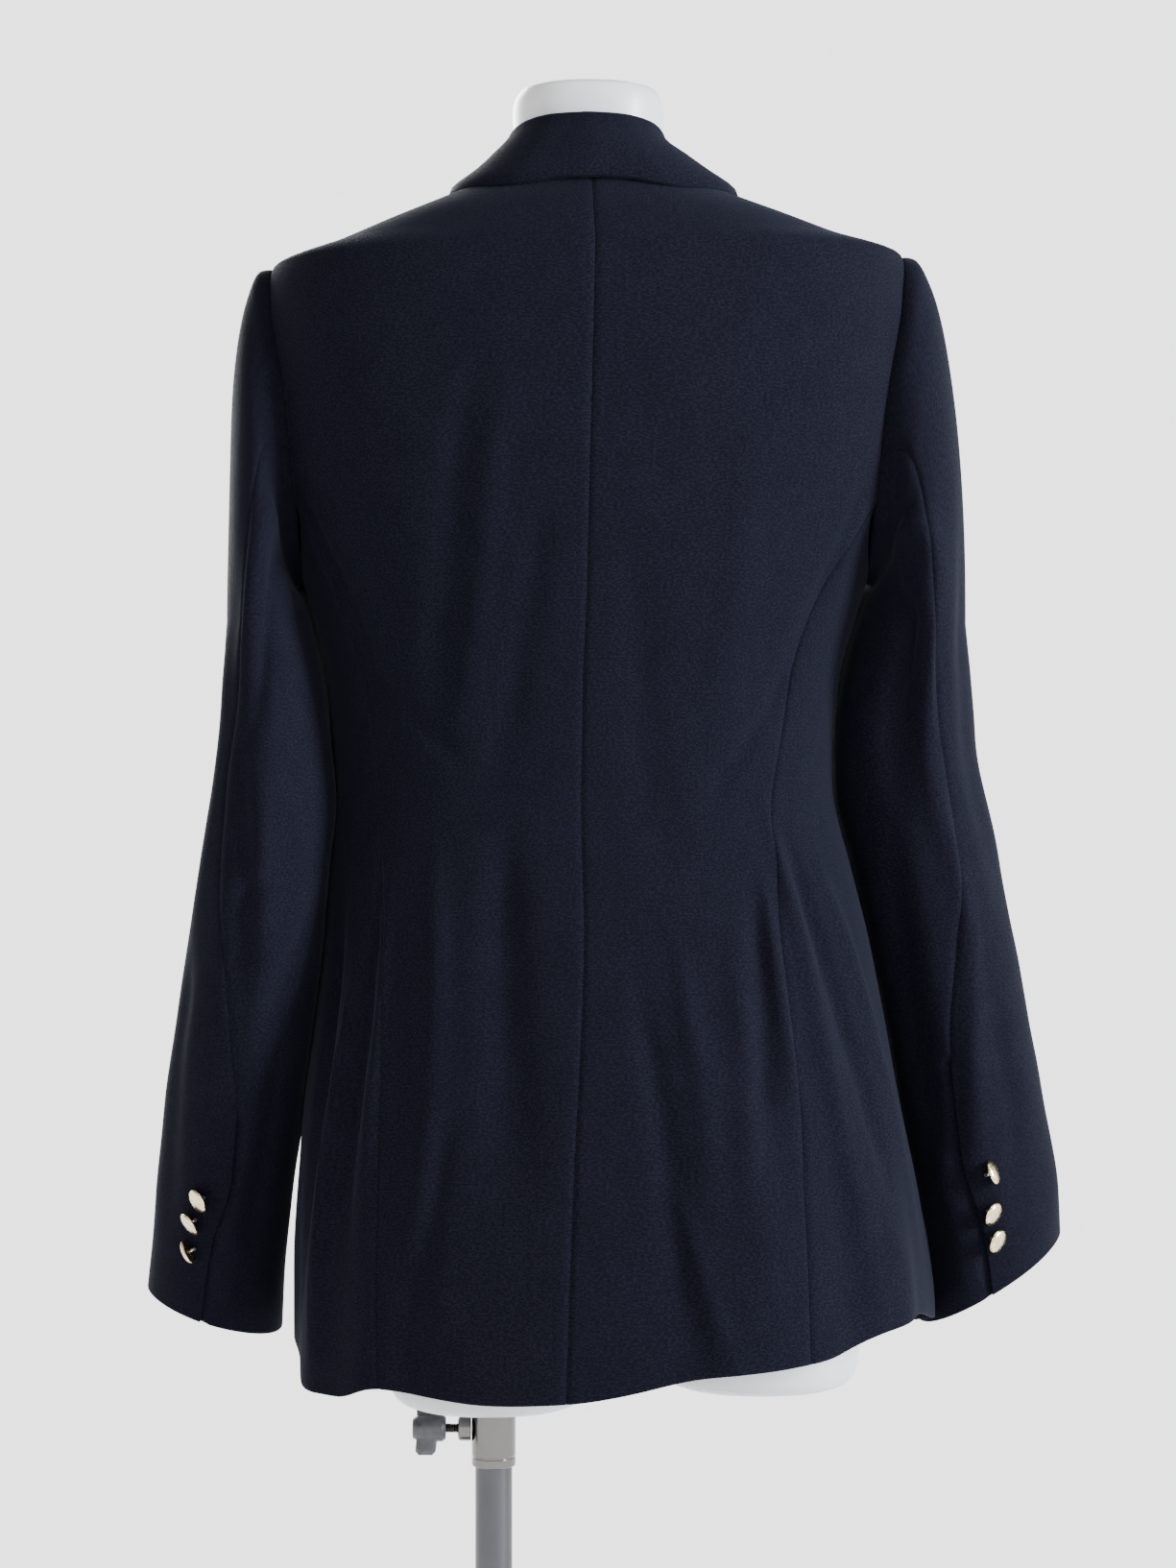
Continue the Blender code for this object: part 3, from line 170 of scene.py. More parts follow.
SLEEVE_SECTIONS = (
    (0.095, 0.1895, 0.0240, 0.008, 0.1975, 0.0280, -0.006, 0.0650),
    (0.030, 0.1865, 0.0310, 0.020, 0.1915, 0.0420, -0.018, 0.0600),
    (-0.050, 0.1912, 0.0362, 0.028, 0.2030, 0.0465, -0.026, 0.0550),
    (-0.130, 0.2012, 0.0403, 0.016, 0.2195, 0.0435, -0.028, 0.0500),
    (-0.210, 0.2140, 0.0410, -0.008, 0.2350, 0.0420, -0.034, 0.0460),
    (-0.275, 0.2230, 0.0400, -0.028, 0.2445, 0.0430, -0.041, 0.0430),
    (-0.320, 0.2278, 0.0410, -0.039, 0.2460, 0.0445, -0.046, 0.0420),
)
CUFF_TILT = {"left": 0.32, "right": 0.62}
CUFF_FOOT_Z = {"left": -0.3185, "right": -0.3000}
ARM_SEAM_COLUMNS = ("along", "left", "right")
ARM_SEAM = (
    (0.00, 102.0, 104.0),
    (0.10, 92.0, 96.0),
    (0.24, 74.0, 86.0),
    (0.37, 58.0, 72.0),
    (0.45, 52.0, 66.0),
    (0.55, 58.0, 70.0),
    (0.63, 74.0, 84.0),
    (0.71, 88.0, 100.0),
    (0.77, 98.0, 106.0),
    (0.84, 100.0, 108.0),
    (0.92, 88.0, 100.0),
    (1.00, 84.0, 94.0),
)
ARM_FRONT_SEAM_DEG = 235.0
CAP_SHARE = 0.28
CAP_OUT = 0.021
CAP_SPREAD = (1.0, 0.75, 0.16)
CAP_OUT_SHARE = 0.45
CAP_DOWN_SHARE = 0.62
CUFF_LEAN_Z = (0.020, -0.310)
CUFF_LEAN_BACK = 0.10
SLEEVE_ROOM = 0.0020
ROOM_ALONG = (0.02, 0.16)
TOUCH_SOFTNESS = 0.004
LEAN_COLUMNS = ("z", "left", "right")
LEAN = (
    (-0.300, 0.000, 0.000),
    (-0.205, 0.000, 0.007),
    (-0.130, 0.012, 0.013),
    (-0.040, 0.016, 0.017),
    (0.095, 0.016, 0.020),
)
LEAN_DEG = {"left": 218.0, "right": 198.0}
LEAN_HALF_DEG = 42.0
SLEEVE_NORMAL_SPAN = (0.012, 0.985)
SLEEVE_NEAR = (0.02, 0.008)
FORM_COLUMNS = ("z", "half_width", "back", "front", "shift_x")
FORM_SECTIONS = (
    (-0.330, 0.1450, 0.0800, 0.0760, -0.0210),
    (-0.300, 0.1610, 0.1000, 0.0930, -0.0200),
    (-0.240, 0.1670, 0.1090, 0.0960, -0.0160),
    (-0.160, 0.1560, 0.0980, 0.0900, -0.0080),
    (-0.080, 0.1340, 0.0780, 0.0800, -0.0020),
    (0.000, 0.1200, 0.0680, 0.0780, 0.0010),
    (0.070, 0.1290, 0.0740, 0.0920, 0.0000),
    (0.140, 0.1430, 0.0840, 0.1040, 0.0000),
    (0.200, 0.1500, 0.0880, 0.0960, 0.0000),
    (0.250, 0.1590, 0.0880, 0.0820, 0.0000),
    (0.280, 0.1620, 0.0860, 0.0740, 0.0000),
    (0.300, 0.1600, 0.0830, 0.0670, 0.0000),
    (0.3115, 0.1540, 0.0800, 0.0610, 0.0000),
    (0.3193, 0.1450, 0.0790, 0.0590, 0.0000),
    (0.3312, 0.1230, 0.0750, 0.0550, 0.0000),
    (0.3432, 0.0908, 0.0665, 0.0500, 0.0000),
    (0.3510, 0.0660, 0.0570, 0.0460, 0.0000),
    (0.3575, 0.0540, 0.0500, 0.0435, 0.0000),
    (0.3660, 0.0468, 0.0465, 0.0425, 0.0000),
    (0.382, 0.0444, 0.0450, 0.0430, 0.0000),
    (0.402, 0.0450, 0.0440, 0.0430, 0.0000),
    (0.411, 0.0420, 0.0410, 0.0400, 0.0000),
    (0.414, 0.0340, 0.0330, 0.0320, 0.0000),
)
STUB_COLUMNS = ("z", "half_width", "half_depth")
STUB_SECTIONS = (
    (-0.3620, 0.0520, 0.0690),
    (-0.3595, 0.0575, 0.0750),
    (-0.3520, 0.0610, 0.0800),
    (-0.3200, 0.0625, 0.0830),
    (-0.2700, 0.0635, 0.0850),
)
STUBS = {"left": (0.0570, 0.0), "right": (-0.0990, 0.012)}
STUB_BOTTOM_Z = -0.3620
ROLL_LEAN = 0.20
LAPEL_ROLL = 0.0024
LAPEL_ROLL_SHARE = 0.22
LAPEL_TIP_RISE = 0.0008
LAPEL_INSET = 0.001
LEFT_LAPEL_FOOT_Z = 0.146
LEFT_LAPEL_CLEAR = 0.0020
ROLL_TOP = (0.0580, 0.3180)
NOTCH = (0.0920, 0.2850)
PEAK = (0.1380, 0.3030)
COLLAR_POINT = (0.1120, 0.3030)
LAPEL_OUTER_RIGHT = ((-0.0740, 0.034), (-0.035, 0.085), (0.030, 0.158), (0.098, 0.243), PEAK)
LAPEL_OUTER_LEFT = ((0.0250, 0.150), (0.045, 0.173), (0.075, 0.213), (0.110, 0.260), PEAK)
# Each row gives seam, fold, edge deg, edge z, edge lift
COLLAR_STATIONS = (
    ((0.0000, 0.0590, 0.3590), (0.0000, 0.0560, 0.3880), 0.0, 0.3460, 0.0024),
    ((0.0220, 0.0550, 0.3588), (0.0180, 0.0520, 0.3880), 24.0, 0.3463, 0.0024),
    ((0.0410, 0.0440, 0.3584), (0.0340, 0.0410, 0.3866), 48.0, 0.3468, 0.0024),
    ((0.0560, 0.0240, 0.3578), (0.0440, 0.0215, 0.3838), 72.0, 0.3474, 0.0024),
    ((0.0620, -0.0020, 0.3570), (0.0480, -0.0030, 0.3800), 92.0, 0.3472, 0.0024),
    ((0.0625, -0.0250, 0.3535), (0.0520, -0.0250, 0.3700), 122.0, 0.3415, 0.0036),
    ((0.0605, -0.0450, 0.3430), (0.0535, -0.0455, 0.3530), 134.0, 0.3340, 0.0042),
    ((0.0585, -0.0590, 0.3300), (0.0545, -0.0610, 0.3370), 140.0, 0.3220, 0.0042),
)
COLLAR_SHIFT_X = -0.0020
COLLAR_SHIFT_LOW_Z = (0.354, 0.362)
COLLAR_SHIFT_HIGH_Z = (0.371, 0.383)
COLLAR_VALLEY = 0.006
COLLAR_FALL_MIDDLE = 0.52
COLLAR_END_SEAM = (0.0008, 0.0032, 0.0006)
COLLAR_END_STAND = 0.0030
COLLAR_END = ((0, 0.0006, 0.0030), (-0.0006, 0.0012, 0.0026), (0, 0.0008, 0.0036))
COLLAR_LEFT_RISE = 0.0028
COLLAR_BOW = 0.0012
FRONT_BUTTON_R = 0.0100
FRONT_BUTTON_LIFT = 0.0007
CUFF_BUTTON_R = 0.0075
# Each row gives along, in deg, tip back, tip out
CUFF_BUTTONS = {
    "left": ((0.866, 18.0, 6.0, 0.0), (0.892, 18.0, -10.0, 6.0), (0.923, 12.0, 0.0, -22.0)),
    "right": ((0.868, 14.0, 0.0, 24.0), (0.905, 6.5, 6.0, -8.0), (0.936, 4.5, 4.0, 8.0)),
}
FRONT_BUTTON_ROWS = (0.010, -0.095, -0.200)
FRONT_BUTTON_X = 0.052
POLE_XY = (0.056, 0.012)
POLE_R = 0.0110
POLE_TOP_Z = -0.150
SOCKET_R = 0.0131
SOCKET_BOTTOM_Z = -0.4045
CLAMP_Z = -0.3826
BORE_R = 0.0116
BORE_TOP_Z = -0.070
BORE_OVERRUN = 0.02
POLE_EDGE = 0.0015
BASE_R = 0.190
BASE_THICK = 0.008
PLATE_EDGE = 0.003
HUB_R = 0.024
HUB_FOOT_R = 0.032
HUB_HEIGHT = 0.045
NUT_HOLE_R = 0.0042
NUT_R = 0.0075
NUT_LONG = 0.0076
NUT_EDGE = 0.001
SCREW_R = 0.003
SCREW_LONG = 0.0190


def column(columns, rows, name):
    """One named column of a table, as an array."""
    return np.array([row[columns.index(name)] for row in rows], float)


def smooth(xs, ys, x):
    """A curve through a table's values that never overshoots them."""
    xs, ys, x = np.asarray(xs, float), np.asarray(ys, float), np.asarray(x, float)
    step, rise = np.diff(xs), np.diff(ys)
    slope = rise / step
    tangent = np.concatenate([[slope[0]], np.zeros(len(xs) - 2), [slope[-1]]])
    for i in range(1, len(xs) - 1):
        if slope[i - 1] * slope[i] > 0:
            tangent[i] = 2 * slope[i - 1] * slope[i] / (slope[i - 1] + slope[i])
    x = np.clip(x, xs[0], xs[-1])
    i = np.clip(np.searchsorted(xs, x) - 1, 0, len(xs) - 2)
    t = (x - xs[i]) / step[i]
    return (
        ys[i] * (1 + 2 * t) * (1 - t) ** 2
        + tangent[i] * step[i] * t * (1 - t) ** 2
        + ys[i + 1] * t * t * (3 - 2 * t)
        - tangent[i + 1] * step[i] * t * t * (1 - t)
    )


def from_table(columns, rows, name, z):
    """A table's named column as a smooth function of its first column."""
    return smooth(column(columns, rows, columns[0]), column(columns, rows, name), z)


def ease(x):
    x = np.clip(x, 0.0, 1.0)
    return x * x * (3 - 2 * x)


def ease_over(x, span):
    return ease((x - span[0]) / (span[1] - span[0]))


def section(half_width, back, front, phi):
    """A point of a full-cornered oval; phi is 0 at the centre back and a quarter turn at the side."""
    depth = np.where(np.cos(phi) >= 0, back, front)
    return half_width * np.sin(phi), depth * np.cos(phi) * (1 + FULLNESS * np.sin(phi) ** 2)


def fold_depth(phi, z):
    """How far the skirt's soft folds push the cloth out at one place."""
    total = np.zeros(np.broadcast(phi, z).shape)
    degrees = np.degrees(phi)
    for row in FOLDS:
        top_deg, foot_deg, top_z, foot_z, half_deg, depth = row
        down = (top_z - z) / (top_z - foot_z)
        middle = top_deg + (foot_deg - top_deg) * np.clip(down, 0, 1)
        across = (degrees - middle) / half_deg
        total = total + depth * np.exp(-across**2) * ease(down * 1.4)
    return total


def shoulder_drop(x, z):
    """The left shoulder hangs a little lower than the right one."""
    return SHOULDER_DROP * x * np.abs(x) * ease_over(z, SHOULDER_DROP_Z)


def body_base(phi, z):
    """The outer surface of the jacket's body, without an offset."""
    phi, z = np.broadcast_arrays(np.asarray(phi, float), np.asarray(z, float))
    width, back, front = (from_table(BODY_COLUMNS, BODY_SECTIONS, n, z) for n in BODY_COLUMNS[1:])
    x, y = section(width, back, front, phi)
    length = np.hypot(x, y) + 1e-9
    out = fold_depth(phi, z)
    x, y = x * (1 + out / length), y * (1 + out / length)
    turn = np.radians(from_table(HANG_COLUMNS, HANG_SECTIONS, "turn_deg", z))
    shift = from_table(HANG_COLUMNS, HANG_SECTIONS, "shift_x", z)
    x, y = x * np.cos(turn) + y * np.sin(turn) + shift, y * np.cos(turn) - x * np.sin(turn)
    return np.stack([x, y, z - shoulder_drop(x, z)], -1)


def normals_of(surface, u, v, du, dv):
    """Unit normals of a surface function, from its own neighbouring points."""
    along_u = surface(u + du, v) - surface(u - du, v)
    along_v = surface(u, v + dv) - surface(u, v - dv)
    normal = np.cross(along_v, along_u)
    return normal / (np.linalg.norm(normal, axis=-1, keepdims=True) + 1e-12)


def body_point(phi, z, out=0.0):
    """A point of the jacket's body, moved out along the surface's normal."""
    normal = normals_of(body_base, phi, z, NEAR_ANGLE, NEAR_HEIGHT)
    return body_base(phi, z) + normal * np.asarray(out)[..., None]


def phi_front(x, z):
    """The angle, on the left side, of a front point that lies x towards the left."""
    width = from_table(BODY_COLUMNS, BODY_SECTIONS, "half_width", z)
    return math.pi - np.arcsin(np.clip(x / width, -0.999, 0.999))


def armhole_phi(z, back):
    """The armhole's edge at one height, on the back or on the front."""
    level = np.clip((z - ARMHOLE_MID_Z) / ARMHOLE_HALF_HEIGHT, -1, 1)
    reach = np.sqrt(1 - level**2)
    return np.radians(90 - ARMHOLE_BACK_DEG * reach if back else 90 + ARMHOLE_FRONT_DEG * reach)


def seam_phi(z, name):
    return np.radians(from_table(SEAM_COLUMNS, SEAMS, name, z))


def seam_meets_armhole(name):
    """The height at which a side seam runs into the armhole."""
    z = np.linspace(ARMHOLE_MID_Z - ARMHOLE_HALF_HEIGHT, ARMHOLE_MID_Z, 400)
    apart = seam_phi(z, name) - armhole_phi(z, name.startswith("back"))
    return float(z[np.argmin(np.abs(apart))])


def hemmed(phi, z):
    """Heights near the hem, moved so that the lowest row follows the hem's own line."""
    wanted = smooth(column(HEM_COLUMNS, HEM, "deg"), column(HEM_COLUMNS, HEM, "z"), np.degrees(phi))
    return z + (wanted - HEM_Z) * (1 - ease((z - HEM_Z) / HEM_REACH))


def roll_line(z):
    """The folded front edge above the break: how far it lies towards its own side."""
    slope = (ROLL_TOP[0] + OVERLAP_X) / (ROLL_TOP[1] - BREAK_Z)
    low = -OVERLAP_X + (z - BREAK_Z) * slope
    high = ROLL_TOP[0] + (z - ROLL_TOP[1]) * ROLL_LEAN
    return np.where(z < BREAK_Z, -OVERLAP_X, np.where(z < ROLL_TOP[1], low, high))


def lap_lift(x, z, side):
    """How far the right front is lifted to lie over the left one."""
    if side == "left":
        return 0 * (x + z)
    return LAP_LIFT * (1 - ease_over(x, LAP_END_X)) * (1 - ease_over(z, LAP_END_Z))


def own_side_x(phi, z):
    return from_table(BODY_COLUMNS, BODY_SECTIONS, "half_width", z) * np.sin(phi)


def polyline(points, share):
    """Points at equal shares of the way along a short list of points."""
    points = np.array(points, float)
    reach = np.concatenate([[0], np.cumsum(np.linalg.norm(np.diff(points, axis=0), axis=1))])
    at = np.asarray(share) * reach[-1]
    return np.stack([smooth(reach, points[:, 0], at), smooth(reach, points[:, 1], at)], -1)


def straight(points, share):
    """As polyline, with straight runs between the points."""
    points = np.array(points, float)
    reach = np.concatenate([[0], np.cumsum(np.linalg.norm(np.diff(points, axis=0), axis=1))])
    at = np.asarray(share) * reach[-1]
    return np.stack([np.interp(at, reach, points[:, 0]), np.interp(at, reach, points[:, 1])], -1)


def lapel_domain(side, rows, columns):
    """The lapel's points as distance towards its own side and height, between its four edges."""
    up, over = spread(0, 1, rows), spread(0, 1, columns)
    roll_end = (ROLL_TOP[0] - 0.5 * LAPEL_INSET, ROLL_TOP[1] - LAPEL_INSET)
    if side == "right":
        outer = polyline(LAPEL_OUTER_RIGHT, up)
        foot = (-OVERLAP_X + 0.2 * LAPEL_INSET, BREAK_Z + LAPEL_INSET)
        inner = straight([foot, roll_end], up)
    else:
        outer = polyline(LAPEL_OUTER_LEFT, up)
        cross_z = BREAK_Z + (ROLL_TOP[1] - BREAK_Z) * OVERLAP_X / (ROLL_TOP[0] + OVERLAP_X)
        foot = (LEFT_LAPEL_CLEAR - float(roll_line(np.array(LEFT_LAPEL_FOOT_Z))), LEFT_LAPEL_FOOT_Z)
        crossing = (1.1 * LEFT_LAPEL_CLEAR, cross_z + LEFT_LAPEL_CLEAR)
        inner = straight([foot, crossing, roll_end], up)
    top = straight([inner[-1], (NOTCH[0], NOTCH[1] - LAPEL_INSET), PEAK], over)
    foot = straight([inner[0], outer[0]], over)
    v, u = up[:, None, None], over[None, :, None]
    sides = inner[:, None] * (1 - u) + outer[:, None] * u
    ends = foot[None] * (1 - v) + top[None] * v
    corners = (
        inner[0] * (1 - u) * (1 - v) + outer[0] * u * (1 - v) + inner[-1] * (1 - u) * v + outer[-1] * u * v
    )
    return sides + ends - corners


def gorge_section(sign):
    """The collar's last section: its folded end, the notch and the collar's point, as on the left front."""
    offsets = np.array(COLLAR_END)
    flat = np.array([ROLL_TOP, NOTCH, COLLAR_POINT]) + offsets[:, :2]
    phi = phi_front(flat[:, 0], flat[:, 1]) * sign
    return body_point(phi, flat[:, 1], offsets[:, 2]) * np.array([sign, 1, 1])


def collar_ring(seam, fold, middle, edge):
    """The collar's closed section: up the stand, over the fold and down the fall, and back inside."""
    seam, fold, middle, edge = (np.asarray(p, float) for p in (seam, fold, middle, edge))
    half = COLLAR_CLOTH / 2
    up = (fold - seam) / np.linalg.norm(fold - seam)
    down = (edge - fold) / np.linalg.norm(edge - fold)
    across = edge - seam
    across = across - up * (across @ up)
    across = across / np.linalg.norm(across)
    out = across - down * (across @ down)
    out = out / np.linalg.norm(out)
    stand = np.linalg.norm(fold - seam)
    valley = min(COLLAR_VALLEY, 0.45 * stand)
    halfway = (seam + fold) / 2
    return [
        edge + out * half,
        middle + out * (half + COLLAR_BOW),
        fold + down * COLLAR_VALLEY + out * half,
        fold + up * half + across * half * 0.9,
        fold + up * half - across * half * 0.6,
        fold - up * valley * 0.5 - across * half,
        halfway - across * half,
        seam - across * half,
        seam + across * half,
        halfway + across * half,
        fold - up * valley + across * half,
        middle - out * (half - COLLAR_BOW),
        edge - out * half,
    ]


def collar_half(sign, count):
    """The collar's sections from the centre back to the notch, as if on the left side."""
    stations = []
    for station, (seam, fold, edge_deg, edge_z, edge_lift) in enumerate(COLLAR_STATIONS):
        if sign > 0:
            edge_z = edge_z + COLLAR_LEFT_RISE * math.sin(math.pi * station / (len(COLLAR_STATIONS) - 1))
        edge = body_point(np.radians(edge_deg) * sign, np.array(edge_z), np.array(edge_lift))
        stations.append([seam, fold, edge * np.array([sign, 1, 1])])
    fold_end, notch, point = gorge_section(sign)
    rings, steps = [], range(len(stations))
    for at in spread(0, len(stations) - 1, count):
        seam, fold, edge = (
            np.array([float(smooth(steps, [row[k][i] for row in stations], at)) for i in range(3)])
            for k in range(3)
        )
        if at == 0:
            edge[0] = 0
        middle = fold + (edge - fold) * COLLAR_FALL_MIDDLE
        rings.append(collar_ring(seam, fold, middle, edge))
    seam_end = fold_end + np.array(COLLAR_END_SEAM)
    rings.append(collar_ring(seam_end, fold_end + np.array([0, 0, COLLAR_END_STAND]), notch, point))
    return np.array(rings)


def sleeve_column(name, z):
    return from_table(SLEEVE_COLUMNS, SLEEVE_SECTIONS[::-1], name, z)


def armhole_point(angle, side):
    """The armhole's edge, as on the left; the angle is 0 at the shoulder tip, then goes to the back."""
    reach = np.where(np.sin(angle) >= 0, math.radians(ARMHOLE_BACK_DEG), math.radians(ARMHOLE_FRONT_DEG))
    phi = math.pi / 2 - reach * np.sin(angle)
    sign = SIGN[side]
    edge = body_base(phi * sign, ARMHOLE_MID_Z + ARMHOLE_HALF_HEIGHT * np.cos(angle))
    return edge * np.array([sign, 1, 1])


def tube_point(angle, z, side):
    """A point of the sleeve below the underarm, as the left sleeve."""
    middle = np.stack([sleeve_column(side + "_x", z), sleeve_column(side + "_y", z), z], -1)
    half = sleeve_column(side + "_half", z)
    depth = sleeve_column("half_depth", z)
    low = ease_over(z, CUFF_LEAN_Z)
    lean = CUFF_TILT[side] * low
    off = (np.degrees(angle) - LEAN_DEG[side] + 180) % 360 - 180
    lean_in = from_table(LEAN_COLUMNS, LEAN, side, z) * np.exp(-((off / LEAN_HALF_DEG) ** 2))
    x = half * np.cos(angle) - lean_in
    y = depth * np.sin(angle)
    return middle + np.stack([x, y, x * lean - y * CUFF_LEAN_BACK * low], -1)


def off_the_body(points, side, room):
    """Points of a sleeve, moved out to where they clear the body by some room."""
    x, y, z = points[..., 0] * SIGN[side], points[..., 1], points[..., 2]
    wanted = np.arctan2(x, y)
    phi = wanted
    for _ in range(5):
        surface = body_base(phi, z)
        turn = wanted - np.arctan2(surface[..., 0], surface[..., 1])
        phi = phi + (turn + math.pi) % (2 * math.pi) - math.pi
    surface = body_base(phi, z)
    least = np.hypot(surface[..., 0], surface[..., 1]) + room
    reach = np.hypot(x, y)
    apart = least - reach
    pushed = reach + 0.5 * (apart + np.sqrt(apart**2 + TOUCH_SOFTNESS**2))
    share = np.where(room > 0, pushed / reach, 1.0)
    return points * np.stack([share, share, np.ones_like(share)], -1)


def sleeve_base(angle, along, side):
    """The outer surface of a sleeve: along is 0 at the armhole and 1 at the cuff."""
    angle, along = np.broadcast_arrays(np.asarray(angle, float), np.asarray(along, float))
    top_z, foot_z = SLEEVE_SECTIONS[0][0], CUFF_FOOT_Z[side]
    down = np.clip((along - CAP_SHARE) / (1 - CAP_SHARE), 0, None)
    low = tube_point(angle, top_z + (foot_z - top_z) * down, side)
    start = armhole_point(angle, side)
    end = tube_point(angle, np.full(angle.shape, top_z), side)
    reach = np.linalg.norm(end - start, axis=-1)
    outward = np.stack([np.ones_like(angle), np.sin(angle), np.cos(angle)], -1) * np.array(CAP_SPREAD)
    outward = outward / np.linalg.norm(outward, axis=-1, keepdims=True)
    first = start + outward * np.minimum(CAP_OUT, reach * CAP_OUT_SHARE)[..., None]
    last = end + np.stack([0 * reach, 0 * reach, reach * CAP_DOWN_SHARE], -1)
    t = np.clip(along / CAP_SHARE, 0, 1)[..., None]
    cap = start * (1 - t) ** 3 + 3 * first * t * (1 - t) ** 2 + 3 * last * t * t * (1 - t) + end * t**3
    whole = np.where((along < CAP_SHARE)[..., None], cap, low)
    return off_the_body(whole, side, SLEEVE_ROOM * ease_over(along, ROOM_ALONG))


def sleeve_point(angle, along, side, inwards=0.0):
    """A point of a sleeve's wall, moved in along the surface's normal."""
    def surface(u, v):
        return sleeve_base(u, v, side)

    inside = np.clip(along, *SLEEVE_NORMAL_SPAN)
    normal = normals_of(surface, angle, inside, *SLEEVE_NEAR)
    return surface(angle, along) - normal * inwards


def oval_ring(half_width, back, front, middle, z, sides):
    phi = spread(0, 2 * math.pi, sides + 1)[:-1]
    x, y = section(half_width, back, front, phi)
    return np.stack([x + middle[0], y + middle[1], z - shoulder_drop(x, 0 * x + z)], -1)


def spread(low, high, count):
    return np.linspace(low, high, count)


# The fine shells: how close their points are, and how the cloth turns in at a seam or an edge
CELL = 0.0034
SEAM_DIP = 0.0009
SEAM_REACH = 0.0019
ROUND_THE_BODY = 0.165
ROUND_THE_SLEEVE = 0.048
SLEEVE_LENGTH = 0.61
SHELL_GAP = -0.00024
SHELL_START = 0.0
HEAD_TURNED_IN = 0.0010
GAP_REACH = 0.01
# Rows from a hem or a cut edge, close enough for its roll, and the run of the rows over the armhole
HEM_ROWS = (0.0, 0.0006, 0.0014, 0.0026, 0.0042)
HEM_TOP = 0.0065
EDGE_ROWS = (0.0, 0.0006, 0.0014, 0.0024, 0.0038, 0.0056)
EDGE_ROOM = 1.3
ARMHOLE_RUN = 0.30
SHOULDER_RUN = 0.10
# The reach that sets how many points lie across each panel, and its usual width
PANEL_GRID = {
    "back": (0.17, 0.15),
    "side": (0.15, 0.14),
    "side_height": (0.46, 0.46),
    "front": (0.20, 0.20),
    "upper": (0.17, 0.17),
    "under": (0.12, 0.12),
}
LAPEL_GRID = (0.32, 0.13)
CAP_RUN = 0.20
BELOW_CAP_RUN = 0.42
SIDE_TOP_SHARE = 0.75
# The cloth's unevenness: size, depth and, where it is one for all, its phase
BODY_RIPPLE = (0.014, 0.00035, 0.4)
SLEEVE_RIPPLE = (0.012, 0.0004)
LAPEL_RIPPLE = (0.02, 0.0004, 1.1)
COLLAR_RIPPLE = (0.012, 0.0002, 0.3)
COLLAR_STEP = (0.0035, 0.0015)
COLLAR_ROUND_POINTS = 5
COLLAR_SHARP_DEG = 60
COLLAR_EASE_ROUNDS = 2
# How far the collar's edge lies lower than the solid's, by how far it is from the middle of the arch
COLLAR_ARCH_COLUMNS = ("from_middle", "drop")
COLLAR_ARCH = (
    (0.0, -0.0020), (0.020, -0.0010), (0.035, 0.0016), (0.055, 0.0040), (0.072, 0.0036), (0.090, 0.0030),
)
COLLAR_ARCH_X = -0.004
COLLAR_ARCH_TOP_Z = 0.374
COLLAR_ARCH_SPAN = 0.016
COLLAR_SLOPE = 0.50
COLLAR_BEHIND = 0.03
COLLAR_PINCH = (0.0060, 0.0018)
COLLAR_PINCH_Z = 0.374
COLLAR_PINCH_HALF = 0.010
COLLAR_PINCH_START = 0.02
COLLAR_PINCH_RUN = 0.03
SEAM_ROLL = 0.12
EDGE_ROLL = 0.45
UNDERLAP = 0.009
UNDERLAP_ROOM = 0.0005
UNDERLAP_EASE = 0.008
# Where a sleeve leans on the body: the middle and half width of that side, and how flat its creases are
SHALLOW_DEG = 205.0
SHALLOW_HALF_DEG = 48.0
SHALLOW_SHARE = 0.85
CREASE_START = 0.03
CREASE_RUN = 0.08
NO_CREASE_Z = 0.345
NO_CREASE_RUN = 0.05
SLEEVE_HEAD_RISE = 0.0012
SLEEVE_HEAD_AT = 0.035
SLEEVE_HEAD_HALF = 0.022
ARMHOLE_DIP = 0.12
SHOULDER_DIP = 0.8
VENT_TOP = {"left": 0.76, "right": 0.73}
VENT_RUN = 0.02
# How much further the cuff buttons hang over on their thread than the solids: back, out and round
LOOSE_TIPS = {
    "left": ((0, -34, 6), (8, -46, 34), (0, -52, 24)),
    "right": ((0, 48, 26), (0, 56, -14), (0, 40, -14)),
}
# A button from its foot over the rim to the dome: shares of its radius, and heights
BUTTON_FOOT = 0.20
BUTTON_FOOT_EDGE = 1.3
BUTTON_BACK_Z = (0.0029, 0.0031)
BUTTON_RIM = ((0.72, 0.0033), (0.90, 0.0037), (0.975, 0.0041), (1.0, 0.0045), (0.995, 0.0049))
DOME_SHARE = 0.985
DOME_FOOT_Z = 0.0049
DOME_RISE = 0.0025
DOME_TOP_Z = 0.0074
DOME_STEPS_DEG = range(8, 90, 9)
BUTTON_SIDES = 40
SHANK_LOOP = 0.0016
SHANK_WIRE = 0.0005
SHANK_UP = 0.0019
THREAD_R = 0.00025
THREAD_LOOP = 0.00075
THREAD_TURNS = 3
THREAD_TURN_DEG = 9
THREAD_FIRST_UP = 0.0002
THREAD_STEP_UP = 0.00045
# A worked buttonhole: half its length, how far its middle lies inward of the button, and its stitches
HOLE_HALF = 0.0110
HOLE_INWARD = 0.0060
HOLE_HALF_WIDTH = 0.0011
HOLE_SQUARENESS = 0.35
SLIT_HALF_WIDTH = 0.0004
SLIT_LIFT = 0.00012
SLIT_THICK = 0.0003
STITCH_PITCH = 0.0007
STITCH_LENGTH = 0.0022
SCREW_TURNS = 14
SCREW_PITCH = 0.0013
SCREW_DEPTH = 0.0005
SCREW_EDGE = 0.0004
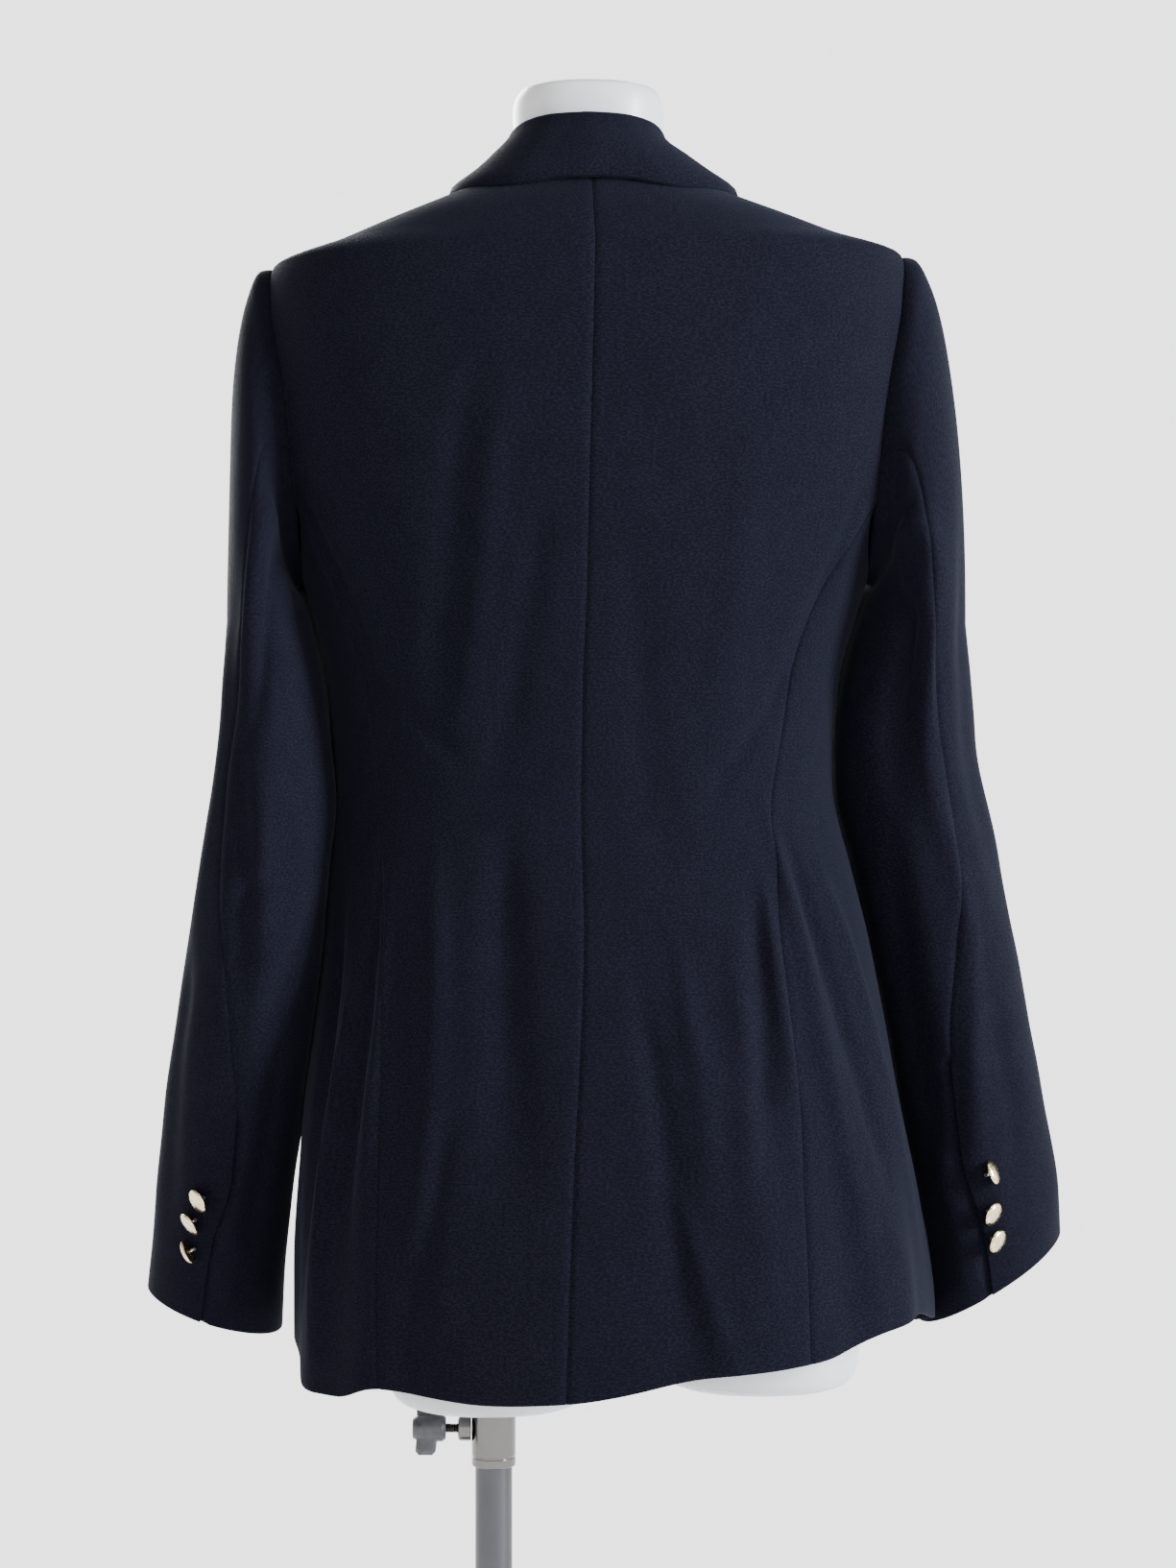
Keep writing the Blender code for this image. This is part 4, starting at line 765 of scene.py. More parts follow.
# A groove round the socket's foot: its heights and its depth
GROOVE = (0.0050, 0.0053, 0.0062, 0.0065)
GROOVE_DEPTH = 0.0003
ROD_RINGS = 24
# Rows of the form's sections: runs of even rows, then the rounded top; and the rounded foot of a thigh end
FORM_RUNS = ((-0.325, 0.300, 60), (0.3045, 0.400, 40))
FORM_TOP_ROWS = (0.4040, 0.4070, 0.4095, 0.4115, 0.4130, 0.4140)
STUB_FOOT_ROWS = (0, 0.0003, 0.0009, 0.0018, 0.0030)
STUB_RUN = (-0.3570, -0.2700, 20)
FLOOR_R = 1.1
WOOL_DEEP = (0.00070, 0.00060, 0.00165)
WOOL_PALE = (0.00560, 0.00580, 0.01030)
SURROUND = (1.0, 1.0, 1.0)
WALL_STRENGTH = 2.8
CEILING_STRENGTH = 0.5
WALL_EDGE = (0.27, 0.40)
LAMPS = (
    ("key_light", (-3.1, 1.40, 2.0), (0.0, 0.0, 1.05), (0.9, 1.6), 520.0, (0.86, 0.92, 1.0)),
    ("top_fill", (-0.6, 0.7, 3.4), (0.0, 0.0, 1.4), (2.4, 2.4), 45.0, (1.0, 0.98, 0.96)),
    ("front_fill", (1.3, -2.7, 2.3), (0.0, 0.0, 1.1), (1.6, 2.0), 260.0, (1.0, 0.99, 0.97)),
)

# Creases of the body, on the cloth rolled out flat from the centre back: two ends, half width and depth.
# Places are degrees round the body and heights; a negative depth is a trough.
BODY_CREASES = (
    # The right half of the back and its side panel, from the waist down
    (-50.0, -0.045, -66.0, -0.255, 0.0075, -0.0051),
    (-45.0, -0.040, -57.0, -0.300, 0.0070, 0.0037),
    (-60.0, -0.060, -80.0, -0.270, 0.0100, 0.0044),
    (-36.0, -0.075, -33.0, -0.200, 0.0075, -0.0041),
    (-39.0, -0.060, -40.0, -0.180, 0.0050, 0.0027),
    (-30.0, -0.100, -29.0, -0.240, 0.0090, 0.0024),
    (-10.0, -0.130, -18.0, -0.330, 0.0080, -0.0031),
    (-18.0, -0.100, -22.0, -0.250, 0.0080, 0.0026),
    (-15.0, -0.230, -25.0, -0.335, 0.0060, 0.0020),
    # The left half of the back and its side panel, from the waist down
    (18.0, -0.040, 15.0, -0.240, 0.0150, -0.0051),
    (33.0, -0.060, 31.0, -0.280, 0.0110, 0.0034),
    (46.0, -0.080, 45.0, -0.260, 0.0060, 0.0037),
    (50.0, -0.060, 50.0, -0.250, 0.0045, -0.0041),
    (56.0, -0.110, 58.0, -0.335, 0.0050, 0.0051),
    (64.0, -0.090, 66.0, -0.300, 0.0090, -0.0058),
    (28.0, -0.200, 34.0, -0.340, 0.0080, -0.0027),
    # The upper back and the blades
    (14.0, 0.215, 27.0, 0.030, 0.0085, 0.0020),
    (20.0, 0.225, 33.0, 0.050, 0.0090, -0.0020),
    (8.0, 0.150, 19.0, 0.000, 0.0100, -0.0020),
    (64.0, 0.165, 48.0, 0.020, 0.0110, -0.0034),
    (-62.0, 0.170, -47.0, 0.030, 0.0100, -0.0027),
    (-30.0, 0.180, -34.0, 0.020, 0.0140, 0.0017),
    (-10.0, 0.120, -16.0, -0.040, 0.0120, -0.0017),
    (-50.0, 0.055, -28.0, -0.010, 0.0060, -0.0015),
    (50.0, 0.060, 26.0, 0.010, 0.0060, -0.0017),
    # The fronts, which nothing in the picture shows, creased as the back is
    (128.0, 0.110, 158.0, 0.030, 0.0090, -0.0031),
    (-128.0, 0.105, -156.0, 0.030, 0.0090, -0.0031),
    (122.0, 0.150, 140.0, 0.020, 0.0100, 0.0027),
    (-122.0, 0.150, -142.0, 0.020, 0.0100, 0.0027),
    (126.0, -0.040, 132.0, -0.290, 0.0090, 0.0041),
    (-126.0, -0.040, -134.0, -0.300, 0.0090, 0.0044),
    (112.0, -0.060, 114.0, -0.310, 0.0080, -0.0041),
    (-112.0, -0.060, -116.0, -0.300, 0.0080, -0.0041),
    (146.0, -0.120, 148.0, -0.335, 0.0100, -0.0031),
    (-148.0, -0.110, -150.0, -0.335, 0.0100, -0.0027),
    (100.0, -0.210, 98.0, -0.340, 0.0080, 0.0037),
    (-102.0, -0.230, -98.0, -0.330, 0.0080, 0.0034),
)

# Creases of the sleeves: angle round the sleeve and share of its length at the two ends
# Then half width and depth in metres
SLEEVE_CREASES = {
    "left": (
        (132.0, 0.16, 78.0, 0.40, 0.0080, -0.0042),
        (118.0, 0.12, 62.0, 0.33, 0.0080, 0.0033),
        (40.0, 0.30, 30.0, 0.62, 0.0100, 0.0027),
        (70.0, 0.42, 92.0, 0.66, 0.0080, -0.0030),
        (96.0, 0.46, 110.0, 0.78, 0.0090, 0.0030),
        (128.0, 0.50, 74.0, 0.58, 0.0070, -0.0033),
        (150.0, 0.54, 96.0, 0.64, 0.0070, 0.0027),
        (30.0, 0.64, 44.0, 0.92, 0.0100, -0.0024),
        (128.0, 0.70, 122.0, 0.96, 0.0080, -0.0030),
        (210.0, 0.20, 300.0, 0.36, 0.0080, -0.0036),
        (240.0, 0.46, 330.0, 0.54, 0.0070, -0.0033),
        (250.0, 0.51, 320.0, 0.60, 0.0070, 0.0027),
        (-30.0, 0.60, -40.0, 0.90, 0.0100, 0.0024),
    ),
    "right": (
        (128.0, 0.13, 74.0, 0.25, 0.0075, 0.0045),
        (140.0, 0.19, 92.0, 0.42, 0.0110, -0.0060),
        (112.0, 0.24, 104.0, 0.50, 0.0110, -0.0051),
        (84.0, 0.30, 72.0, 0.62, 0.0060, 0.0033),
        (40.0, 0.26, 34.0, 0.60, 0.0120, -0.0027),
        (70.0, 0.60, 98.0, 0.86, 0.0070, 0.0036),
        (120.0, 0.52, 132.0, 0.84, 0.0100, -0.0039),
        (60.0, 0.70, 66.0, 0.90, 0.0080, -0.0024),
        (128.0, 0.82, 118.0, 0.98, 0.0080, 0.0027),
        (210.0, 0.20, 300.0, 0.34, 0.0080, -0.0036),
        (236.0, 0.48, 326.0, 0.55, 0.0070, -0.0033),
        (246.0, 0.53, 316.0, 0.60, 0.0070, 0.0027),
        (-24.0, 0.56, -34.0, 0.90, 0.0100, 0.0024),
    ),
}


# Where the left sleeve swells softly to the body: angle, share of its length, half sizes in both, height
SWELLS = {
    "left": (
        (172.0, 0.475, 34.0, 0.060, 0.0024),
        (172.0, 0.660, 34.0, 0.070, 0.0014),
        (196.0, 0.712, 44.0, 0.036, 0.0016),
        (200.0, 0.772, 40.0, 0.048, 0.0030),
    ),
    "right": (),
}


def crease_depth(around, along, creases, wide, long):
    """How far the creases push the cloth out; wide and long turn a crease's two units into metres."""
    total = np.zeros(np.broadcast(around, along).shape)
    for top_a, top_b, foot_a, foot_b, half_width, depth in creases:
        start = np.array([top_a * wide, top_b * long])
        run = np.array([foot_a * wide, foot_b * long]) - start
        length = np.hypot(*run)
        run = run / length
        u, v = around * wide - start[0], along * long - start[1]
        down = (u * run[0] + v * run[1]) / length
        # A crease wanders a little, and is slightly deeper in its upper third
        aside = u * run[1] - v * run[0] + 0.12 * half_width * np.sin(7.0 * down + top_a)
        grown = half_width * (0.75 + 0.5 * np.clip(down, 0, 1))
        taper = ease((down + 0.18) / 0.36) * ease((1.18 - down) / 0.50)
        total = total + depth * np.exp(-((aside / grown) ** 2)) * taper
    return total


def ripple(u, v, size, depth, phase):
    """The cloth's slight unevenness: a few crossed swells that don't repeat in step."""
    a = np.sin(u / size + 1.7 * np.sin(v / size * 0.61 + phase) + phase)
    b = np.sin(v / size * 0.83 + 1.3 * np.sin(u / size * 0.57 - phase) + 2.1 * phase)
    return depth * (a + b) * 0.5


def body_crease(phi, z):
    degrees = np.degrees(phi)
    per_degree = math.radians(1) * ROUND_THE_BODY
    creased = crease_depth(degrees, z, BODY_CREASES, per_degree, 1.0)
    below_neck = ease((NO_CREASE_Z - z) / NO_CREASE_RUN)
    return (creased + ripple(phi * ROUND_THE_BODY, z, *BODY_RIPPLE)) * below_neck


def sleeve_crease(angle, along, side):
    degrees = np.degrees(angle)
    total = 0
    for turn in (0.0, -360.0):
        total = total + crease_depth(
            degrees + turn, along, SLEEVE_CREASES[side], math.radians(1) * ROUND_THE_SLEEVE, SLEEVE_LENGTH
        )
    swell = ripple(angle * ROUND_THE_SLEEVE, along * SLEEVE_LENGTH, *SLEEVE_RIPPLE, SIGN[side])
    # Where the sleeve leans on the body its creases are pressed nearly flat
    off = (degrees - SHALLOW_DEG + 180) % 360 - 180
    free = 1 - SHALLOW_SHARE * np.exp(-((off / SHALLOW_HALF_DEG) ** 2))
    out = (total + swell) * free * ease((along - CREASE_START) / CREASE_RUN)
    for deg, share, half_deg, half_share, height in SWELLS[side]:
        off = (degrees - deg + 180) % 360 - 180
        out = out + height * np.exp(-((off / half_deg) ** 2) - ((along - share) / half_share) ** 2)
    return out


def edge_dip(across, width, seams):
    """How far the cloth turns in at a row's two ends, by how strong the seam is at each of them."""
    start, end = seams
    at_start = np.exp(-((across * width / SEAM_REACH) ** 2))
    at_end = np.exp(-(((1 - across) * width / SEAM_REACH) ** 2))
    return SEAM_DIP * (start * at_start + end * at_end)


def close_near_ends(count, width):
    """Shares from 0 to 1 that crowd at both ends, so that a seam's valley has points enough."""
    inner = np.linspace(0, 1, count)
    edge = np.array(EDGE_ROWS) / width
    middle = inner[(inner > edge[-1] * EDGE_ROOM) & (inner < 1 - edge[-1] * EDGE_ROOM)]
    return np.concatenate([edge, middle, 1 - edge[::-1]])


def fine_shares(panel):
    """Shares across one panel, as close as its cells and closer at both ends."""
    reach, width = PANEL_GRID[panel]
    return close_near_ends(int(reach / CELL), width)


def shell(name, outer, inner, uv, finish, rolls=(EDGE_ROLL, EDGE_ROLL, EDGE_ROLL, EDGE_ROLL)):
    """A closed thin wall between two grids, and its cloth's own flat places as UV.

    The rolls say how round the wall's edges are, at the first and last row and the first and last column.
    """
    rows, columns = outer.shape[:2]
    thick = np.linalg.norm(outer - inner, axis=-1, keepdims=True)
    middle = (outer + inner) / 2

    def rolled(grid):
        """The grid with its outermost points drawn to the wall's middle, so that the edge is round."""
        grid = grid.copy()
        grid[0] += (middle[0] - grid[0]) * rolls[0]
        grid[-1] += (middle[-1] - grid[-1]) * rolls[1]
        grid[:, 0] += (middle[:, 0] - grid[:, 0]) * rolls[2]
        grid[:, -1] += (middle[:, -1] - grid[:, -1]) * rolls[3]
        return grid

    outer, inner = rolled(outer), rolled(inner)
    count = rows * columns
    index = np.arange(count).reshape(rows, columns)
    a, b, c, d = index[:-1, :-1], index[:-1, 1:], index[1:, 1:], index[1:, :-1]
    front = np.stack([a, b, c, d], -1).reshape(-1, 4)
    back = np.stack([a, d, c, b], -1).reshape(-1, 4) + count
    rim = np.concatenate([index[0], index[1:, -1], index[-1, -2::-1], index[-2:0:-1, 0]])
    after = np.roll(rim, -1)
    side = np.stack([rim, rim + count, after + count, after], -1)
    faces = np.concatenate([front, back, side])
    points = np.concatenate([outer.reshape(-1, 3), inner.reshape(-1, 3)])
    points[:, 2] += WAIST_Z
    flat = np.concatenate([uv.reshape(-1, 2), uv.reshape(-1, 2)])
    return cloth_piece(name, points, faces.tolist(), flat, finish)


def cloth_piece(name, points, faces, flat, finish):
    """A closed cloth mesh that faces outwards, with its flat places as UV."""
    mesh = bpy.data.meshes.new(name)
    mesh.from_pydata(points.tolist(), [], faces)
    mesh.validate()
    layer = mesh.uv_layers.new(name="cloth")
    corner = np.zeros(len(mesh.loops), np.int32)
    mesh.loops.foreach_get("vertex_index", corner)
    layer.data.foreach_set("uv", flat[corner].astype(np.float32).ravel())
    grown = bmesh.new()
    grown.from_mesh(mesh)
    bmesh.ops.recalc_face_normals(grown, faces=grown.faces)
    if grown.calc_volume(signed=True) < 0:
        bmesh.ops.reverse_faces(grown, faces=grown.faces)
    grown.to_mesh(mesh)
    grown.free()
    mesh.shade_smooth()
    mesh.materials.append(finish)
    made = bpy.data.objects.new(name, mesh)
    bpy.context.scene.collection.objects.link(made)
    return made


def ring_faces(rows, columns):
    """The faces of a closed skin through rings of points, with its two ends filled."""
    index = np.arange(rows * columns).reshape(rows, columns)
    after = np.roll(index, -1, axis=1)
    faces = np.stack([index[:-1], after[:-1], after[1:], index[1:]], -1).reshape(-1, 4).tolist()
    return faces + [index[0][::-1].tolist(), index[-1].tolist()]


def dressed(piece, node):
    """Fixes a cloth piece to the figure in place of its solid."""
    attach(piece, "figure")
    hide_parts(node)


def cloth_base(phi, z):
    """The jacket's body with its creases."""
    phi, z = np.broadcast_arrays(np.asarray(phi, float), np.asarray(z, float))
    return body_point(phi, z, body_crease(phi, z))


def cloth_point(phi, z, out):
    normal = normals_of(cloth_base, phi, z, NEAR_ANGLE, NEAR_HEIGHT)
    return cloth_base(phi, z) + normal * np.asarray(out)[..., None]


def fine_rows(meet_z):
    """As close rows as the shells have, from the hem over the armhole to the shoulder and the neck."""
    hem = HEM_Z + np.array(HEM_ROWS)
    lower = np.linspace(HEM_Z + HEM_TOP, meet_z, int((meet_z - HEM_Z) / CELL))
    start = math.acos((meet_z - ARMHOLE_MID_Z) / ARMHOLE_HALF_HEIGHT)
    turn = np.linspace(start, 0, int(ARMHOLE_RUN / CELL))[1:]
    middle = ARMHOLE_MID_Z + ARMHOLE_HALF_HEIGHT * np.cos(turn)
    upper = np.linspace(SHOULDER_TIP_Z, BACK_NECK_Z, int(SHOULDER_RUN / CELL))[1:]
    return np.concatenate([hem, lower, middle, upper])


def gap_round(phi, z):
    """Half the hair's breadth between two shells at a seam, as an angle."""
    chord = np.linalg.norm(body_base(phi + GAP_REACH, z) - body_base(phi - GAP_REACH, z), axis=-1)
    return 0.5 * SHELL_GAP / (chord / (2 * GAP_REACH))


def to_armhole(seam, back):
    """A panel's rows, its edge up the side seam and the armhole, and how strong that edge's seam is."""
    meet_z = seam_meets_armhole(seam)
    z = fine_rows(meet_z)
    edge = np.where(z <= meet_z, seam_phi(z, seam), armhole_phi(z, back))
    edge = np.where(z >= SHOULDER_TIP_Z - 1e-6, math.pi / 2, edge)
    above = np.where(z < SHOULDER_TIP_Z, ARMHOLE_DIP, SHOULDER_DIP)
    return z, edge, np.where(z < meet_z, 1.0, above)[:, None]


def body_shell(name, phi, z, lift, sign, seams, finish, rolls):
    """A panel's shell from a grid of the wearer's left side or its mirror image's."""
    phi = phi * sign
    z = hemmed(phi, z)
    rows = np.linalg.norm(np.diff(body_base(phi, z), axis=1), axis=-1)
    width = rows.sum(1, keepdims=True)
    across = np.concatenate([0 * width, np.cumsum(rows, 1)], 1) / np.maximum(width, 1e-9)
    dip = edge_dip(across, width, seams)
    outer = cloth_point(phi, z, lift - dip)
    inner = cloth_point(phi, z, lift - CLOTH)
    # The weave's second direction is measured on the cloth, which lies nearly level on the shoulders
    climb = np.linalg.norm(body_base(phi[:-1], z[1:]) - body_base(phi[:-1], z[:-1]), axis=-1)
    height = z[:1] + np.concatenate([0 * z[:1], np.cumsum(climb, 0)])
    uv = np.stack([phi * ROUND_THE_BODY, height], -1)
    return shell(name, outer, inner, uv, finish, rolls)


def fine_back(side, sign, finish):
    z, outer_edge, shallow = to_armhole("back_" + side, True)
    low = seam_phi(z, "centre") * sign + gap_round(0 * z, z)
    high = outer_edge - gap_round(outer_edge, z)
    across = fine_shares("back")[None, :]
    phi = low[:, None] * (1 - across) + high[:, None] * across
    z = np.repeat(z[:, None], across.size, 1)
    rolls = (EDGE_ROLL, SEAM_ROLL, SEAM_ROLL, SEAM_ROLL)
    return body_shell("blazer_back_" + side, phi, z, 0 * z, sign, (1.0, shallow), finish, rolls)


def fine_side(side, sign, finish):
    back_seam, front_seam = "back_" + side, "front_" + side
    back_top, front_top = seam_meets_armhole(back_seam), seam_meets_armhole(front_seam)
    share = fine_shares("side")
    ends = seam_phi(back_top, back_seam), seam_phi(front_top, front_seam)
    top_phi = smooth((0, 0.5, 1), (ends[0], math.pi / 2, ends[1]), share)
    reach = np.where(top_phi < math.pi / 2, np.radians(ARMHOLE_BACK_DEG), np.radians(ARMHOLE_FRONT_DEG))
    level = np.sqrt(np.clip(1 - ((top_phi - math.pi / 2) / reach) ** 2, 0, 1))
    top_z = ARMHOLE_MID_Z - ARMHOLE_HALF_HEIGHT * level - SHELL_GAP
    ups = fine_shares("side_height")
    phi, z = np.zeros((ups.size, share.size)), np.zeros((ups.size, share.size))
    for r, up in enumerate(ups):
        z[r] = HEM_Z + (top_z - HEM_Z) * up
        low = seam_phi(z[r], back_seam)
        high = seam_phi(z[r], front_seam)
        low, high = low + gap_round(low, z[r]), high - gap_round(high, z[r])
        along = low + (high - low) * share
        rounding = ease((up - SIDE_TOP_SHARE) / (1 - SIDE_TOP_SHARE)) * np.sin(math.pi * share)
        phi[r] = along + (top_phi - along) * rounding
    rolls = (EDGE_ROLL, SEAM_ROLL, SEAM_ROLL, SEAM_ROLL)
    return body_shell("blazer_side_" + side, phi, z, 0 * z, sign, (1.0, 1.0), finish, rolls)


def fine_front(side, sign, finish):
    z, outer_edge, shallow = to_armhole("front_" + side, False)
    low, high = outer_edge + gap_round(outer_edge, z), phi_front(roll_line(z), z)
    across = fine_shares("front")[None, :]
    phi = low[:, None] * (1 - across) + high[:, None] * across
    z = np.repeat(z[:, None], across.size, 1)
    lift = lap_lift(own_side_x(phi, z), z, side)
    rolls = (EDGE_ROLL, SEAM_ROLL, SEAM_ROLL, EDGE_ROLL)
    return body_shell("blazer_front_" + side, phi, z, lift, sign, (shallow, 0.0), finish, rolls)


def fine_lapel(side, sign, finish):
    """The turned-back edge of one front: it rolls at the fold and lies close at its outer edge."""
    flat = lapel_domain(side, *(int(reach / CELL) for reach in LAPEL_GRID))
    x, z = flat[..., 0], flat[..., 1]
    across = spread(0, 1, flat.shape[1])[None, :]
    roll = LAPEL_ROLL * np.exp(-((across / LAPEL_ROLL_SHARE) ** 2)) + LAPEL_TIP_RISE * across**4
    lift = lap_lift(x, z, side) + LAYER_GAP + roll
    phi = phi_front(x, z) * sign
    size, depth, phase = LAPEL_RIPPLE
    swell = ripple(x, z, size, depth, phase + sign) * np.sin(math.pi * across) ** 2
    outer, inner = cloth_point(phi, z, lift + LAPEL_CLOTH + swell), cloth_point(phi, z, lift + swell)
    return shell("blazer_lapel_" + side, outer, inner, flat, finish)


def closed_curve(ring, count):
    """More points on a closed section, with no overshoot between its own."""
    wrapped = np.concatenate([ring[-2:], ring, ring[:3]])
    reach = np.concatenate([[0], np.cumsum(np.linalg.norm(np.diff(wrapped, axis=0), axis=1))])
    start, end = reach[2], reach[len(ring) + 2]
    # Even shares of each stretch, so that the edges' short stretches keep their roundness
    stretch = np.arange(len(ring) * count) / count
    at = np.interp(stretch, np.arange(len(ring) + 1), reach[2:len(ring) + 3])
    at = np.clip(at, start, end)
    return np.stack([smooth(reach, wrapped[:, i], at) for i in range(3)], -1)


def collar_settled(rings):
    """The collar as it lies: its edge arches at the back, and its sides are drawn in to the neck."""
    x, y, z = rings[..., 0], rings[..., 1], rings[..., 2]
    behind = ease(y / COLLAR_BEHIND)
    drop = from_table(COLLAR_ARCH_COLUMNS, COLLAR_ARCH, "drop", np.abs(x - COLLAR_ARCH_X))
    fall = ease((COLLAR_ARCH_TOP_Z - z) / COLLAR_ARCH_SPAN) * behind
    pinch = np.where(x < 0, *COLLAR_PINCH) * np.exp(-(((z - COLLAR_PINCH_Z) / COLLAR_PINCH_HALF) ** 2))
    pinch = pinch * ease((np.abs(x) - COLLAR_PINCH_START) / COLLAR_PINCH_RUN)
    moved = np.stack([-np.sign(x) * pinch, drop * fall * COLLAR_SLOPE, -drop * fall], -1)
    return rings + moved


def fine_collar(finish):
    """The collar: a stand, a fold and a fall in one piece, from notch to notch."""
    steps = 64
    left, right = (collar_half(sign, steps) * np.array([sign, 1, 1]) for sign in (1, -1))
    loops = np.concatenate([right[:0:-1], left])
    low, high = (ease_over(loops[..., 2], z) for z in (COLLAR_SHIFT_LOW_Z, COLLAR_SHIFT_HIGH_Z))
    loops[..., 0] += COLLAR_SHIFT_X * low * (1 - high)
    rings = np.array([closed_curve(ring, COLLAR_ROUND_POINTS) for ring in loops])
    rows, columns = rings.shape[:2]
    # The middle is one cloth: the two halves run into each other softly
    for _ in range(COLLAR_EASE_ROUNDS):
        rings[1:-1] = (rings[:-2] + 2 * rings[1:-1] + rings[2:]) / 4
    rings = collar_settled(rings)
    centre = rings.mean(1, keepdims=True)
    long, wide = np.arange(rows)[:, None] * COLLAR_STEP[0], np.arange(columns)[None, :] * COLLAR_STEP[1]
    swell = ripple(long, wide, *COLLAR_RIPPLE)
    away = rings - centre
    rings = rings + away / np.linalg.norm(away, axis=-1, keepdims=True) * swell[..., None]
    points = rings.reshape(-1, 3).copy()
    points[:, 2] += WAIST_Z
    lengths = np.concatenate([[0], np.cumsum(np.linalg.norm(np.diff(rings[:, 0], axis=0), axis=1))])
    round_it = np.cumsum(np.linalg.norm(rings[rows // 2] - np.roll(rings[rows // 2], 1, axis=0), axis=1))
    flat = np.stack(np.broadcast_arrays(lengths[:, None], round_it[None, :]), -1).reshape(-1, 2)
    made = cloth_piece("blazer_collar", points, ring_faces(rows, columns), flat, finish)
    made.data.set_sharp_from_angle(angle=math.radians(COLLAR_SHARP_DEG))
    return made


def sleeve_cloth(angle, along, side):
    """A sleeve's surface with its creases, which lie on it as on the body."""
    angle, along = np.broadcast_arrays(np.asarray(angle, float), np.asarray(along, float))
    near_head = np.exp(-(((along - SLEEVE_HEAD_AT) / SLEEVE_HEAD_HALF) ** 2))
    head = SLEEVE_HEAD_RISE * near_head * np.maximum(np.cos(angle), 0)
    out = sleeve_crease(angle, along, side) + head
    return sleeve_point(angle, along, side, -out[..., None])


def vented_from(side, along):
    """How far the vent at the cuff's back seam is open, from its top to the cuff."""
    return ease((along - VENT_TOP[side]) / VENT_RUN)


def fine_sleeve(kind, side, sign, finish):
    """The upper or under part of a two-piece sleeve; at the vent the under part lies beneath the upper."""
    body = np.linspace(CAP_SHARE, 1, int(BELOW_CAP_RUN / CELL))[1:-1]
    cuff = 1 - np.array(HEM_ROWS[::-1]) / SLEEVE_LENGTH
    cap = np.linspace(SHELL_START, CAP_SHARE, int(CAP_RUN / CELL))
    along = np.concatenate([cap, body[body < cuff[0]], cuff])
    seam = np.radians(from_table(ARM_SEAM_COLUMNS, ARM_SEAM, side, along))
    front_seam = math.radians(ARM_FRONT_SEAM_DEG)
    gap = 0.5 * SHELL_GAP / ROUND_THE_SLEEVE
    vent = vented_from(side, along)
    if kind == "upper":
        low, high = front_seam - 2 * math.pi + gap + 0 * seam, seam - gap
    else:
        low, high = seam + gap - vent * UNDERLAP / ROUND_THE_SLEEVE, front_seam - gap + 0 * seam
    share = fine_shares(kind)[None, :]
    angle = low[:, None] * (1 - share) + high[:, None] * share
    along = np.repeat(along[:, None], share.size, 1)

    def surface(u, v):
        return sleeve_cloth(u, v, side)

    normal = normals_of(surface, angle, np.clip(along, *SLEEVE_NORMAL_SPAN), *SLEEVE_NEAR)
    reach = (high - low)[:, None] * ROUND_THE_SLEEVE
    vent = vent[:, None]
    if kind == "upper":
        dip = edge_dip(share, reach, (1.0, 1.0 - vent))
        lift = 0 * share
    else:
        dip = edge_dip(share, reach, (1.0 - vent, 1.0))
        beneath = 1 - ease((angle - (seam + gap)[:, None]) * ROUND_THE_SLEEVE / UNDERLAP_EASE)
        lift = -(CLOTH + UNDERLAP_ROOM) * vent * beneath
    flip = np.array([sign, 1, 1])
    base = surface(angle, along)
    # The head's edge is turned in at the armhole, so that nothing shows through the seam
    inwards = base[0] - base[1]
    base[0] += inwards / np.linalg.norm(inwards, axis=-1, keepdims=True) * HEAD_TURNED_IN
    outer = (base + normal * (lift - dip)[..., None]) * flip
    inner = (base + normal * (lift - CLOTH)[..., None]) * flip
    uv = np.stack([angle * ROUND_THE_SLEEVE, along * SLEEVE_LENGTH], -1)
    rolls = (SEAM_ROLL, EDGE_ROLL, SEAM_ROLL, SEAM_ROLL)
    return shell(f"blazer_sleeve_{kind}_{side}", outer, inner, uv, finish, rolls)


def turned_mesh(profile, sides):
    """A turned shape about its own Z axis from radius and height pairs, as one bmesh."""
    made = bmesh.new()
    rings = []
    for radius, height in profile:
        if radius < 1e-7:
            rings.append([made.verts.new((0, 0, height))])
            continue
        turns = [2 * math.pi * i / sides for i in range(sides)]
        rings.append([made.verts.new((radius * math.cos(t), radius * math.sin(t), height)) for t in turns])
    for below, above in zip(rings, rings[1:]):
        for i in range(sides):
            j = (i + 1) % sides
            corners = [ring[k % len(ring)] for ring, k in ((below, i), (below, j), (above, j), (above, i))]
            kept = [v for n, v in enumerate(corners) if v not in corners[:n]]
            if len(kept) > 2:
                made.faces.new(kept)
    if profile[0][0] > 1e-7 and profile[0] != profile[-1]:
        made.faces.new(rings[0][::-1])
    if profile[-1][0] > 1e-7 and profile[0] != profile[-1]:
        made.faces.new(rings[-1])
    if profile[0] == profile[-1]:
        bmesh.ops.remove_doubles(made, verts=made.verts, dist=1e-7)
    bmesh.ops.recalc_face_normals(made, faces=made.faces)
    return made


def rounded(profile, radius=0.0006, steps=4):
    """A turned profile with its corners rounded, for the light to catch."""
    out = [profile[0]]
    for before, at, after in zip(profile, profile[1:], profile[2:]):
        before, at, after = (Vector(p) for p in (before, at, after))
        back, ahead = before - at, after - at
        cut = min(radius, back.length * 0.45, ahead.length * 0.45)
        if cut < 1e-6:
            out.append(tuple(at))
            continue
        start, end = at + back.normalized() * cut, at + ahead.normalized() * cut
        for i in range(steps + 1):
            t = i / steps
            out.append(tuple(start * (1 - t) ** 2 + at * 2 * t * (1 - t) + end * t * t))
    out.append(profile[-1])
    return out


